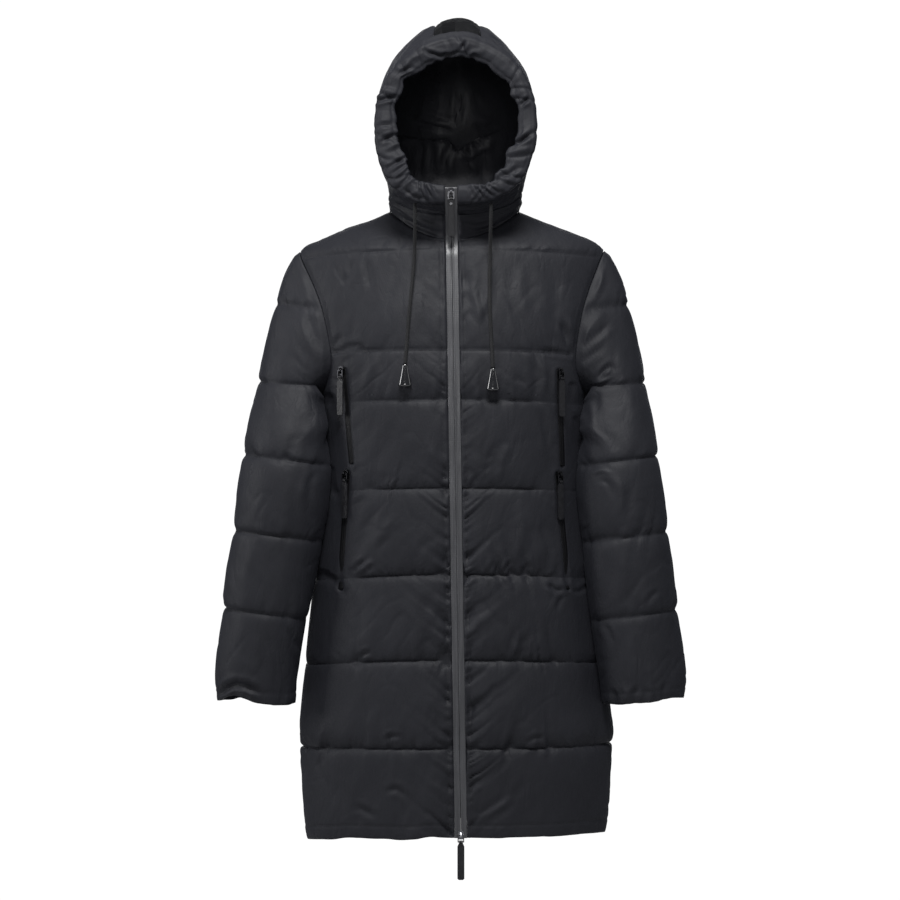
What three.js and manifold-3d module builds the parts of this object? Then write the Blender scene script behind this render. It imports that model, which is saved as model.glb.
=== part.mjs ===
// Quilted hooded parka, filled out as worn and hollow: fronts, back, set-in sleeves, stand
// collar, three-panel hood with a padded rim, two-way main zip, four pocket zips, drawcord.
// Millimetres, +Z up, front towards -Y, wearer's left towards +X.
// Origin: centre of the neck, level with the shoulders, where the wearer holds it up.
import * as THREE from "three";
import { mergeVertices } from "three/addons/utils/BufferGeometryUtils.js";
import Module from "manifold-3d";

const wasm = await Module();
wasm.setup();

// ---------------------------------------------------------------- driving sizes (mm)
const SEAM_GAP = 0.3; // between neighbouring pieces
const WALL = 7; // quilted wall: shell, fill and lining
const LINING = 1.2; // hood lining wall
const RECESS = 5; // how far a quilt line sits below its channels
const ZIP_HALF = 9; // half width of the main zip strip
const ZIP_THICK = 1.8;
const POCKET_HALF = 4; // half width of a pocket zip
const POCKET_THICK = 1.5;
const TAB = { width: 10.5, length: 57, thick: 2.4, barrel: 2.4, bore: 1.45 };
const RING = { width: 8.4, height: 10, wire: 0.8 };
const SLIDER = { width: 9, length: 13, thick: 3.4, bail: 3.8, wire: 0.75 };
const CORD_R = 2.75;
const CORD_END = { top: 3.6, bottom: 11, length: 33, flat: 0.66 };
const SLEEVE_CLEAR = 3; // sleeve's least distance from the flank
const COLUMNS = { front: 8, back: 13, hoodCentre: 3 }; // facets across each front, the back and the hood's centre panel

// ---------------------------------------------------------------- section tables (mm)
// Torso, one row per quilt line or fold. q counts the quilt lines up from the hem (0) to the
// neck seam (8). zF, zL, zR, zB: height at centre front, wearer's right flank (-X), wearer's
// left flank (+X) and centre back. L, R: half widths towards -X and +X. F, B: depths of the
// front and back from the mid plane. n: squareness of the section.
const TORSO = [
  { q: 0, zF: -926, zL: -932, zR: -921, zB: -926, L: 239, R: 224, F: 131, B: 122, n: 2.4 },
  { q: 1, zF: -792, zL: -796, zR: -790, zB: -790, L: 247, R: 237, F: 139, B: 125, n: 2.4 },
  { q: 2, zF: -659, zL: -670, zR: -667, zB: -662, L: 236, R: 226, F: 141, B: 123, n: 2.35 },
  { q: 3, zF: -530, zL: -542, zR: -539, zB: -532, L: 221, R: 217, F: 142, B: 121, n: 2.3 },
  { q: 4, zF: -400, zL: -407, zR: -406, zB: -400, L: 207, R: 206, F: 142, B: 124, n: 2.3 },
  { q: 5, zF: -267, zL: -274, zR: -276, zB: -270, L: 208, R: 208, F: 140, B: 132, n: 2.25 },
  { q: 6, zF: -192, zL: -196, zR: -200, zB: -190, L: 222, R: 221, F: 133, B: 136, n: 2.2 },
  { q: 6.4, zF: -130, zL: -134, zR: -136, zB: -125, L: 234, R: 233, F: 122, B: 134, n: 2.1 },
  { q: 6.75, zF: -78, zL: -88, zR: -90, zB: -65, L: 240, R: 238, F: 107, B: 122, n: 2.05 },
  { q: 7, zF: -38, zL: -50, zR: -48, zB: -25, L: 243, R: 241, F: 96, B: 104, n: 2 },
  { q: 7.15, zF: -35, zL: -32, zR: -31, zB: -14, L: 233, R: 235, F: 94, B: 99, n: 2 },
  { q: 7.35, zF: -32, zL: -18, zR: -17, zB: -2, L: 205, R: 215, F: 92, B: 92, n: 2 },
  { q: 7.65, zF: -28, zL: 2, zR: 2, zB: 12, L: 160, R: 169, F: 89, B: 84, n: 2 },
  { q: 7.85, zF: -25, zL: 14, zR: 14, zB: 18, L: 125, R: 137, F: 87, B: 79, n: 2 },
  { q: 8, zF: -23, zL: 25, zR: 25, zB: 24, L: 95, R: 105, F: 85, B: 75, n: 2 },
];
// Collar and hood, closed rings that fan up and over from the neck seam (v 0) to the face
// opening (v 8). F: centre front point, B: back or top point, S: widest points.
const HOOD = [
  { v: 0, yF: -85, zF: -23, yB: 75, zB: 24, yS: 0, zS: 25, L: 95, R: 105, nF: 2, nB: 2 },
  { v: 1, yF: -93, zF: 14, yB: 90, zB: 66, yS: 2, zS: 57, L: 97, R: 109, nF: 2.1, nB: 2 },
  { v: 2, yF: -99, zF: 20, yB: 122, zB: 114, yS: 5, zS: 94, L: 103, R: 111, nF: 2.2, nB: 2 },
  { v: 3, yF: -104, zF: 24, yB: 142, zB: 174, yS: 3, zS: 124, L: 115, R: 115, nF: 2.35, nB: 2 },
  { v: 4, yF: -108, zF: 27, yB: 136, zB: 240, yS: -8, zS: 147, L: 119, R: 117, nF: 2.5, nB: 1.95 },
  { v: 5, yF: -111, zF: 29, yB: 98, zB: 298, yS: -25, zS: 161, L: 120, R: 118, nF: 2.6, nB: 1.9 },
  { v: 6, yF: -113, zF: 30, yB: 40, zB: 327, yS: -48, zS: 169, L: 119, R: 118, nF: 2.7, nB: 1.9 },
  { v: 7, yF: -114, zF: 31, yB: -28, zB: 320, yS: -74, zS: 169, L: 118, R: 118, nF: 2.8, nB: 1.88 },
  { v: 8, yF: -115, zF: 32, yB: -88, zB: 292, yS: -98, zS: 165, L: 117, R: 118, nF: 2.9, nB: 1.9 },
];
// Sleeves below the armhole. k: row; xO, zO: outer edge; xI, zI: inner edge; y: mid depth;
// d: half depth; n: squareness. Rows 1 to 4 are quilt lines, row 5 is the cuff.
const SLEEVE = {
  right: [
    { k: 0, xO: -308, zO: -250, xI: -212, zI: -276, y: -12, d: 78, n: 2 },
    { k: 1, xO: -326, zO: -347, xI: -187, zI: -365, y: -46, d: 77, n: 2.1 },
    { k: 2, xO: -342, zO: -466, xI: -203, zI: -482, y: -54, d: 72, n: 2.1 },
    { k: 3, xO: -356, zO: -584, xI: -227, zI: -599, y: -58, d: 66, n: 2.1 },
    { k: 3.7, xO: -367, zO: -680, xI: -242, zI: -690, y: -58, d: 62, n: 2.1 },
    { k: 4, xO: -365, zO: -724, xI: -243, zI: -728, y: -58, d: 58, n: 2.1 },
  ],
  left: [
    { k: 0, xO: 294, zO: -250, xI: 212, zI: -276, y: -14, d: 78, n: 2 },
    { k: 1, xO: 310, zO: -352, xI: 180, zI: -368, y: -50, d: 77, n: 2.1 },
    { k: 2, xO: 325, zO: -469, xI: 190, zI: -484, y: -60, d: 72, n: 2.1 },
    { k: 3, xO: 339, zO: -590, xI: 204, zI: -602, y: -64, d: 66, n: 2.1 },
    { k: 3.7, xO: 350, zO: -680, xI: 218, zI: -692, y: -64, d: 62, n: 2.1 },
    { k: 4, xO: 350, zO: -720, xI: 222, zI: -728, y: -64, d: 58, n: 2.1 },
  ],
};
// Armhole loop on the torso: mid row and half height in q, half angles to front and back.
const ARMHOLE = { q: 6.13, half: 1.01, front: 34, back: 36 };
// Pocket zips: slider end (x1, z1) and lower end (x2, z2), on the fronts.
const POCKETS = [
  { name: "right_upper", x1: -171, z1: -222, x2: -158, z2: -362 },
  { name: "right_lower", x1: -164, z1: -378, x2: -176, z2: -552 },
  { name: "left_upper", x1: 156, z1: -224, x2: 161, z2: -366 },
  { name: "left_lower", x1: 154, z1: -380, x2: 170, z2: -552 },
];
// Drawcord's free ends: x and z of each bend, and the stand-off from the chest.
const CORDS = {
  right: [
    { x: -61.8, z: 30, off: 26 },
    { x: -62, z: 0, off: 25 },
    { x: -62.6, z: -44, off: 17 },
    { x: -66, z: -90, off: 8.5 },
    { x: -69.4, z: -125, off: 6 },
    { x: -73, z: -170, off: 5 },
    { x: -76.5, z: -213, off: 6.5 },
  ],
  left: [
    { x: 53, z: 30, off: 26 },
    { x: 52.4, z: 0, off: 25 },
    { x: 51.6, z: -44, off: 17 },
    { x: 50.8, z: -90, off: 8.5 },
    { x: 51.2, z: -130, off: 6 },
    { x: 53.4, z: -176, off: 5 },
    { x: 55.6, z: -219, off: 6.5 },
  ],
};

// ---------------------------------------------------------------- small helpers
const rad = (a) => (a * Math.PI) / 180;
const lerp = (a, b, t) => a + (b - a) * t;
const clamp = (x, a, b) => Math.min(b, Math.max(a, x));
const smooth = (a, b, x) => {
  const t = clamp((x - a) / (b - a), 0, 1);
  return t * t * (3 - 2 * t);
};
// value of a table's column at a key, by a curve that passes through every row
function column(rows, key, name, x) {
  let i = 0;
  while (i < rows.length - 2 && x > rows[i + 1][key]) i++;
  const a = rows[i];
  const b = rows[i + 1];
  const h = b[key] - a[key];
  const t = clamp((x - a[key]) / h, 0, 1);
  const slope = (j) => {
    const p = rows[Math.max(0, j - 1)];
    const n = rows[Math.min(rows.length - 1, j + 1)];
    return (n[name] - p[name]) / (n[key] - p[key]);
  };
  const t2 = t * t;
  const t3 = t2 * t;
  return (
    (2 * t3 - 3 * t2 + 1) * a[name] +
    (t3 - 2 * t2 + t) * h * slope(i) +
    (-2 * t3 + 3 * t2) * b[name] +
    (t3 - t2) * h * slope(i + 1)
  );
}
// x of the zip's centre line at a height: it runs slightly askew
const zipX = (z) => -7.5 + (15 * (50 - z)) / 980;
const power = (s, n) => Math.sign(s) * Math.pow(Math.abs(s), 2 / n);

// ---------------------------------------------------------------- surfaces
// outer envelope of the torso at ring angle a (0 front, 90 +X, 180 back) and row q
function torsoBase(a, q) {
  const g = (name) => column(TORSO, "q", name, q);
  const s = Math.sin(a);
  const c = Math.cos(a);
  const n = g("n");
  const side = s > 0 ? g("zR") : g("zL");
  const end = c > 0 ? g("zF") : g("zB");
  const z = side + (end - side) * c * c;
  const x = zipX(z) + (s > 0 ? g("R") : g("L")) * power(s, n);
  const y = c > 0 ? -g("F") * power(c, n) : -g("B") * power(c, n);
  return new THREE.Vector3(x, y, z);
}
function hoodBase(a, v) {
  const g = (name) => column(HOOD, "v", name, v);
  const s = Math.sin(a);
  const c = Math.cos(a);
  const n = c > 0 ? g("nF") : g("nB");
  const f = Math.pow(Math.abs(c), 2 / n);
  const y = lerp(g("yS"), c > 0 ? g("yF") : g("yB"), f);
  const z = lerp(g("zS"), c > 0 ? g("zF") : g("zB"), lerp(c * c, f, smooth(0, 1.2, v)));
  const w = smooth(0, 4, v);
  const mid = lerp(zipX(z), c > 0 ? lerp(-1, -7.5, f * f * f) : lerp(-1, 2, f), w);
  return new THREE.Vector3(mid + (s > 0 ? g("R") : g("L")) * power(s, n), y, z);
}
// keeps a front point beside the main zip's strip
function clearZip(p) {
  const d = p.x - zipX(p.z);
  if (p.y < -40 && Math.abs(d) < ZIP_HALF + SEAM_GAP) p.x = zipX(p.z) + (Math.sign(d) || 1) * (ZIP_HALF + SEAM_GAP);
  return p;
}
// unit normal of a surface, pointing out
function normalOf(fn, a, q, h = 0.01) {
  const p = fn(a + h, q);
  const m = fn(a - h, q);
  const u = fn(a, q + h * 2);
  const d = fn(a, q - h * 2);
  return new THREE.Vector3().crossVectors(p.sub(m), u.sub(d)).normalize();
}
// depth below the envelope: quilt lines and the edges along the main zip are drawn in
const QUILT_LINES = [0, 1, 2, 3, 4, 5, 6, 7, 8];
function torsoRecess(p, q) {
  const f = q - Math.floor(q);
  const line = 1 - Math.pow(clamp(4 * f * (1 - f), 0, 1), 0.7);
  const pocket = p.y < 0 ? 1 - 0.75 * smooth(90, 140, Math.abs(p.x)) * smooth(3, 3.3, q) * (1 - smooth(5.7, 6, q)) : 1;
  const edge = p.y < 0 ? 1 - smooth(ZIP_HALF, 34, Math.abs(p.x - zipX(p.z))) : 0;
  const shoulder = 1 - 0.6 * smooth(6.9, 7.1, q);
  return RECESS * Math.max(line * pocket * shoulder, edge);
}
function torso(a, q, off = 0) {
  const p = torsoBase(a, q);
  const n = normalOf(torsoBase, a, clamp(q, 0.03, 7.97));
  return p.clone().addScaledVector(n, off - torsoRecess(p, q));
}
function hood(a, v, off = 0) {
  const n = normalOf(hoodBase, a, clamp(v, 0.03, 7.97));
  return hoodBase(a, v).addScaledVector(n, off);
}
// ring angle at which a front row reaches a distance from the zip's centre line
function edgeAngle(base, q, side, distance) {
  let lo = 0;
  let hi = Math.PI / 2;
  for (let i = 0; i < 40; i++) {
    const m = (lo + hi) / 2;
    const p = base(side * m, q);
    if (Math.abs(p.x - zipX(p.z)) < distance) lo = m;
    else hi = m;
  }
  return side * hi;
}

// ---------------------------------------------------------------- solids
function meshGeometry(points, triangles) {
  const g = new THREE.BufferGeometry();
  const pos = new Float32Array(points.length * 3);
  points.forEach((p, i) => pos.set([p.x, p.y, p.z], i * 3));
  g.setAttribute("position", new THREE.BufferAttribute(pos, 3));
  let volume = 0;
  for (const [a, b, c] of triangles) {
    volume += points[a].dot(new THREE.Vector3().crossVectors(points[b], points[c])) / 6;
  }
  g.setIndex(triangles.flatMap(([a, b, c]) => (volume > 0 ? [a, b, c] : [a, c, b])));
  return g;
}
// a wall between two grids of points [row][column]; wrap closes the columns into a tube
function wall(outer, inner, wrap = false) {
  const rows = outer.length;
  const cols = outer[0].length;
  const points = [...outer.flat(), ...inner.flat()];
  const id = (side, r, c) => side * rows * cols + r * cols + (c % cols);
  const tris = [];
  const quad = (a, b, c, d) => tris.push([a, b, c], [a, c, d]);
  const last = wrap ? cols : cols - 1;
  for (let r = 0; r < rows - 1; r++) {
    for (let c = 0; c < last; c++) {
      quad(id(0, r, c), id(0, r, c + 1), id(0, r + 1, c + 1), id(0, r + 1, c));
      quad(id(1, r, c), id(1, r + 1, c), id(1, r + 1, c + 1), id(1, r, c + 1));
    }
    if (!wrap) {
      quad(id(0, r, 0), id(0, r + 1, 0), id(1, r + 1, 0), id(1, r, 0));
      quad(id(0, r, cols - 1), id(1, r, cols - 1), id(1, r + 1, cols - 1), id(0, r + 1, cols - 1));
    }
  }
  for (let c = 0; c < last; c++) {
    quad(id(0, 0, c), id(1, 0, c), id(1, 0, c + 1), id(0, 0, c + 1));
    quad(id(0, rows - 1, c), id(0, rows - 1, c + 1), id(1, rows - 1, c + 1), id(1, rows - 1, c));
  }
  return meshGeometry(points, tris);
}
function toSolid(geometry) {
  const g = geometry.clone();
  for (const name of Object.keys(g.attributes)) if (name !== "position") g.deleteAttribute(name);
  const m = mergeVertices(g, 1e-4);
  return new wasm.Manifold(
    new wasm.Mesh({
      numProp: 3,
      vertProperties: new Float32Array(m.attributes.position.array),
      triVerts: new Uint32Array(m.index.array),
    }),
  );
}
function fromSolid(solid) {
  const m = solid.getMesh();
  const g = new THREE.BufferGeometry();
  const pos = new Float32Array(m.numVert * 3);
  for (let i = 0; i < m.numVert; i++) {
    for (let k = 0; k < 3; k++) pos[i * 3 + k] = m.vertProperties[i * m.numProp + k];
  }
  g.setAttribute("position", new THREE.BufferAttribute(pos, 3));
  g.setIndex([...m.triVerts]);
  return g;
}
const biggest = (solid) => solid.decompose().sort((a, b) => b.volume() - a.volume())[0];
const range = (n, f) => Array.from({ length: n }, (_, i) => f(i, n > 1 ? i / (n - 1) : 0));

// ---------------------------------------------------------------- torso panels
const ROWS = [];
for (let q = 0; q < 8; q++) {
  for (const f of q === 7 ? [0, 0.35, 0.7] : q === 6 ? [0, 0.3, 0.65] : [0, 0.25, 0.75]) ROWS.push(q + f);
}
ROWS.push(8);
const rowEnd = (q, extra) => (q === 8 ? 8 - 0.012 - extra : q); // neck seam's gap
function torsoPanel(angleAt, columns, grow = 0) {
  const grid = (off) =>
    ROWS.map((q) => range(columns, (j, t) => clearZip(torso(angleAt(q, t), rowEnd(q, 0), off))));
  return wall(grid(grow), grid(-WALL - grow));
}
const sideGap = 0.0012;
const frontAngle = (side) => (q, t) => {
  const a0 = edgeAngle(torsoBase, q, side, ZIP_HALF + SEAM_GAP);
  const a1 = side * (Math.PI / 2 - sideGap);
  return lerp(a0, a1, t);
};
const backAngle = (q, t) => lerp(Math.PI / 2 + sideGap, (Math.PI * 3) / 2 - sideGap, t);

// armhole loop: phi 0 at the shoulder, 90 at the front, 180 at the underarm
function armholePoint(side, phi, shrink, off) {
  const q = ARMHOLE.q + ARMHOLE.half * Math.cos(phi) * (1 - shrink);
  const s = Math.sin(phi);
  const half = rad(s > 0 ? ARMHOLE.front : ARMHOLE.back) * (1 - shrink);
  const a = side * (Math.PI / 2 - half * s);
  const base = torsoBase(a, q);
  return base.addScaledVector(normalOf(torsoBase, a, clamp(q, 0.03, 7.97)), off);
}
function armholeCutter(side, shrink = 0) {
  const n = 28;
  const centre = (off) => armholePoint(side, 0, 1, off);
  const ring = (off) => range(n, (i) => armholePoint(side, (i / n) * 2 * Math.PI, shrink, off));
  const offs = [-26, -8, 0, 26];
  const points = [...offs.flatMap((o) => ring(o)), centre(offs[0]), centre(offs[3])];
  const tris = [];
  for (let k = 0; k < offs.length - 1; k++) {
    for (let i = 0; i < n; i++) {
      const j = (i + 1) % n;
      tris.push([k * n + i, k * n + j, k * n + n + j], [k * n + i, k * n + n + j, k * n + n + i]);
    }
  }
  const e = (offs.length - 1) * n;
  for (let i = 0; i < n; i++) {
    const j = (i + 1) % n;
    tris.push([offs.length * n, j, i], [offs.length * n + 1, e + i, e + j]);
  }
  return toSolid(meshGeometry(points, tris));
}

// ---------------------------------------------------------------- sleeves
// pushes a point sideways out of the torso's flank
function clearOfFlank(p, side, clear) {
  let q = 0;
  for (let i = 0, lo = 0, hi = 6; i < 30; i++) {
    q = (lo + hi) / 2;
    if (column(TORSO, "q", side > 0 ? "zR" : "zL", q) < p.z) lo = q;
    else hi = q;
  }
  const n = column(TORSO, "q", "n", q);
  const a = column(TORSO, "q", side > 0 ? "R" : "L", q) + clear;
  const b = column(TORSO, "q", p.y < 0 ? "F" : "B", q) + clear;
  const f = Math.pow(Math.abs(p.y) / b, n);
  if (f >= 1) return p;
  const limit = a * Math.pow(1 - f, 1 / n);
  const x = side * (p.x - zipX(p.z));
  if (x < limit) p.x = zipX(p.z) + side * limit;
  return p;
}
function sleeveRing(rows, side, k, phi) {
  const g = (name) => column(rows, "k", name, k);
  const n = g("n");
  const c = Math.cos(phi);
  const s = Math.sin(phi);
  const t = (power(c, n) + 1) / 2;
  return new THREE.Vector3(
    lerp(g("xI"), g("xO"), t),
    g("y") - g("d") * power(s, n),
    lerp(g("zI"), g("zO"), t),
  );
}
// distance below the envelope at a sleeve's quilt lines
const SLEEVE_LINES = [-118, -241, -356, -473, -593, -724];
function sleeveRecess(p, side, rows) {
  const level = p.z + 0.125 * (Math.abs(p.x) - 260);
  let near = 1e9;
  for (const z of SLEEVE_LINES) near = Math.min(near, Math.abs(level - z));
  return RECESS * (1 - Math.pow(smooth(0, 42, near), 0.6));
}
function sleevePoint(rows, side, h, phi) {
  // h 0 to 1: from the armhole to the first ring; beyond 1: rows of the table
  if (h >= 1) return sleeveRing(rows, side, h - 1, phi);
  const a = armholePoint(side, phi, 0.004, 0);
  const b = sleeveRing(rows, side, 0, phi);
  const reach = a.distanceTo(b);
  const up = (Math.cos(phi) + 1) / 2; // 1 at the shoulder, 0 at the underarm
  const t0 = new THREE.Vector3(side * lerp(0.9, 0.743, up), -0.25 * Math.sin(phi), -lerp(0.45, 0.669, up)).normalize();
  const t1 = sleeveRing(rows, side, 0.1, phi).sub(b).normalize();
  const m0 = reach * lerp(0.7, 0.6, up);
  const m1 = reach * lerp(0.7, 0.8, up);
  const h2 = h * h;
  const h3 = h2 * h;
  return new THREE.Vector3()
    .addScaledVector(a, 2 * h3 - 3 * h2 + 1)
    .addScaledVector(t0, (h3 - 2 * h2 + h) * m0)
    .addScaledVector(b, -2 * h3 + 3 * h2)
    .addScaledVector(t1, (h3 - h2) * m1);
}
const SLEEVE_ROWS = [0.012, 0.16, 0.36, 0.58, 0.8, 1, 1.35, 1.7, 2, 2.25, 2.75, 3, 3.25, 3.75, 4, 4.25, 4.7, 5];
function sleeve(side) {
  const rows = side > 0 ? SLEEVE.left : SLEEVE.right;
  const cols = 16;
  const base = (phi, h) => sleevePoint(rows, side, h, phi);
  const outer = SLEEVE_ROWS.map((h) =>
    range(cols, (j) => {
      const phi = (j / cols) * 2 * Math.PI;
      const p = base(phi, h);
      const e = 0.012;
      const du = base(phi + e, h).sub(base(phi - e, h));
      const dv = base(phi, Math.min(h + e, 5)).sub(base(phi, Math.max(h - e, 0.002)));
      const n = new THREE.Vector3().crossVectors(du, dv).normalize().multiplyScalar(side);
      const out = p.clone().addScaledVector(n, -sleeveRecess(p, side, rows) * smooth(0, 0.25, h));
      if (h > 0.95) clearOfFlank(out, side, SLEEVE_CLEAR);
      return out;
    }),
  );
  // normals of the finished outer grid carry the inner face
  const inner = outer.map((row, r) =>
    row.map((p, j) => {
      const du = outer[r][(j + 1) % cols].clone().sub(outer[r][(j + cols - 1) % cols]);
      const dv = outer[Math.min(r + 1, outer.length - 1)][j].clone().sub(outer[Math.max(r - 1, 0)][j]);
      const n = new THREE.Vector3().crossVectors(du, dv).normalize().multiplyScalar(side);
      return p.clone().addScaledVector(n, -WALL);
    }),
  );
  return wall(outer, inner, true);
}

// ---------------------------------------------------------------- build the cloth
const PALETTE = {
  shell: { color: 0x2c2d31, roughness: 0.46, metalness: 0 },
  lining: { color: 0x1b1b1f, roughness: 0.35, metalness: 0 },
  tape: { color: 0x3c3d42, roughness: 0.28, metalness: 0 },
  metal: { color: 0x2e2e31, roughness: 0.32, metalness: 0.9 },
  bright: { color: 0x9a9a9e, roughness: 0.25, metalness: 1 },
  strap: { color: 0x1f1f22, roughness: 0.42, metalness: 0 },
  cord: { color: 0x1c1c1f, roughness: 0.75, metalness: 0 },
  bell: { color: 0x141416, roughness: 0.2, metalness: 0.1 },
};
const parka = new THREE.Group();
function add(name, geometry, look, parent = parka) {
  const mesh = new THREE.Mesh(geometry, new THREE.MeshStandardMaterial(PALETTE[look]));
  mesh.name = name;
  parent.add(mesh);
  return mesh;
}

const cutters = { left: armholeCutter(1), right: armholeCutter(-1) };
const fronts = {
  left: toSolid(torsoPanel(frontAngle(1), COLUMNS.front + 1)).subtract(cutters.left),
  right: toSolid(torsoPanel(frontAngle(-1), COLUMNS.front + 1)).subtract(cutters.right),
};
const back = toSolid(torsoPanel(backAngle, COLUMNS.back + 1)).subtract(cutters.left).subtract(cutters.right);
add("front_left", fromSolid(biggest(fronts.left)), "shell");
add("front_right", fromSolid(biggest(fronts.right)), "shell");
add("back", fromSolid(biggest(back)), "shell");

// the torso a little thicker and with a slightly smaller armhole, to trim the sleeves by
function trimBody(side) {
  const tight = armholeCutter(side, 0.0035);
  const angles = (q, t) => side * lerp(rad(35), rad(145), t);
  const grid = (off) =>
    ROWS.map((q) => range(14, (j, t) => torso(angles(q, t), rowEnd(q, 0), off)));
  return toSolid(wall(grid(0.35), grid(-WALL - 0.35))).subtract(tight);
}
for (const [name, side] of [["left", 1], ["right", -1]]) {
  add(`sleeve_${name}`, fromSolid(biggest(toSolid(sleeve(side)).subtract(trimBody(side)))), "shell");
}

// ---------------------------------------------------------------- collar and hood
const HOOD_ROWS = [1, 1.6, 2.2, 3, 3.8, 4.6, 5.4, 6.2, 7.1, 8];
// Ring angles shared by the neck, the collar and the hood panels: the fronts' columns from
// the zip round to the side (0 to front), then the back's columns (front to front + back).
const open = (v) => edgeAngle(hoodBase, v, 1, ZIP_HALF + SEAM_GAP);
const openRight = (v) => -edgeAngle(hoodBase, v, -1, ZIP_HALF + SEAM_GAP);
const RING_COLUMNS = 2 * COLUMNS.front + COLUMNS.back;
function ringAngle(v, i) {
  const { front, back } = COLUMNS;
  if (i <= front) return lerp(open(v), Math.PI / 2, i / front);
  if (i <= front + back) return lerp(Math.PI / 2, 1.5 * Math.PI, (i - front) / back);
  return lerp(1.5 * Math.PI, 2 * Math.PI - openRight(v), (i - front - back) / front);
}
function hoodPanel(rows, from, to, outOff, inOff, step = 1) {
  // columns from and to are seams, drawn in by half the gap
  const count = Math.round((to - from) / step) + 1;
  const grid = (off) =>
    rows.map((v) =>
      range(count, (j) => {
        const i = from + j * step;
        const cut = j === 0 && from > 0 ? 0.0016 : j === count - 1 && to < RING_COLUMNS ? -0.0016 : 0;
        return clearZip(hood(ringAngle(v, i) + cut, v, off));
      }),
    );
  return wall(grid(outOff), grid(inOff));
}
const CENTRE_FROM = COLUMNS.front + (COLUMNS.back - COLUMNS.hoodCentre) / 2;
const CENTRE_TO = CENTRE_FROM + COLUMNS.hoodCentre;
add("collar", hoodPanel([0.03, 0.5, 0.965], 0, RING_COLUMNS, 0, -WALL), "shell");
add("hood_left", hoodPanel(HOOD_ROWS, 0, CENTRE_FROM, 0, -WALL), "shell");
add("hood_right", hoodPanel(HOOD_ROWS, CENTRE_TO, RING_COLUMNS, 0, -WALL), "shell");
add("hood_centre", hoodPanel(HOOD_ROWS, CENTRE_FROM, CENTRE_TO, 0, -WALL), "shell");
// lining: one skin that hangs inside the three panels
const LINING_ROWS = [1.2, 2.6, 3.8, 5, 6.2, 7.1, 7.85];
add("hood_lining", hoodPanel(LINING_ROWS, 3.5, RING_COLUMNS - 3.5, -WALL - 6, -WALL - 6 - LINING, 2), "lining");

// padded rim: a rounded section carried round the face opening, inwards and forwards of it
const RIM = { out: -2, width: 27, depth: 17, stand: 2 };
function rim() {
  const n = 28;
  const a0 = open(8);
  const a1 = 2 * Math.PI - openRight(8);
  const centre = new THREE.Vector3(0, -98, 160);
  const flat = (a) => hoodBase(a, 8);
  const facing = new THREE.Vector3(0, -260, -27).normalize(); // out of the opening
  const section = [
    [0, 0],
    [0.86, 0],
    [1, 0.3],
    [0.97, 0.72],
    [0.7, 1],
    [0.25, 1],
    [0, 0.78],
    [-0.06, 0.35],
  ];
  const rings = range(n, (i, t) => {
    const a = lerp(a0, a1, t);
    const p = flat(a);
    const tangent = flat(Math.min(a + 0.02, a1)).sub(flat(Math.max(a - 0.02, a0))).normalize();
    const inward = new THREE.Vector3().crossVectors(tangent, facing).normalize();
    if (inward.dot(centre.clone().sub(p)) < 0) inward.negate();
    if (i === 0 || i === n - 1) inward.set(0, 0, 1); // ends stand upright beside the zip
    const forward = new THREE.Vector3().crossVectors(inward, tangent).normalize();
    if (forward.dot(facing) < 0) forward.negate();
    return section.map(([u, w]) =>
      p
        .clone()
        .addScaledVector(inward, RIM.out + u * RIM.width)
        .addScaledVector(forward, RIM.stand + w * RIM.depth),
    );
  });
  const m = section.length;
  const points = rings.flat();
  const tris = [];
  for (let r = 0; r < n - 1; r++) {
    for (let c = 0; c < m; c++) {
      const d = (c + 1) % m;
      tris.push([r * m + c, r * m + d, (r + 1) * m + d], [r * m + c, (r + 1) * m + d, (r + 1) * m + c]);
    }
  }
  for (let c = 1; c < m - 1; c++) {
    tris.push([0, c + 1, c], [(n - 1) * m, (n - 1) * m + c, (n - 1) * m + c + 1]);
  }
  return meshGeometry(points, tris);
}
add("hood_rim", rim(), "shell");

// ---------------------------------------------------------------- main zip
// centre front line of the coat at the zip's face, from the hem to the collar's top
function zipLine() {
  const line = ROWS.map((q) => {
    const p = torso(0.0001, Math.max(0.0, q), 0.6);
    return new THREE.Vector3(0, p.y, p.z);
  });
  for (const v of [0.25, 0.6, 1, 3, 5, 8]) {
    const p = hoodBase(0.0001, v);
    if (v > 1) p.y = lerp(-93, -98, (v - 1) / 7);
    line.push(new THREE.Vector3(0, p.y + 3.5, p.z));
  }
  line[line.length - 1].z = 56;
  line[line.length - 1].y = -98;
  return line;
}
const ZIP_LINE = zipLine();
function zipHalf(side) {
  const grid = (off) =>
    ZIP_LINE.map((p) =>
      [SEAM_GAP / 2, ZIP_HALF].map((d) => new THREE.Vector3(zipX(p.z) + side * d, p.y + off, p.z)),
    );
  return wall(grid(0), grid(ZIP_THICK));
}
add("zip_main_left", zipHalf(1), "tape");
add("zip_main_right", zipHalf(-1), "tape");
const zipY = (z) => {
  for (let i = 0; i < ZIP_LINE.length - 1; i++) {
    const a = ZIP_LINE[i];
    const b = ZIP_LINE[i + 1];
    if (z >= a.z && z <= b.z) return lerp(a.y, b.y, (z - a.z) / (b.z - a.z));
  }
  return z < ZIP_LINE[0].z ? ZIP_LINE[0].y : ZIP_LINE[ZIP_LINE.length - 1].y;
};

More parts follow.
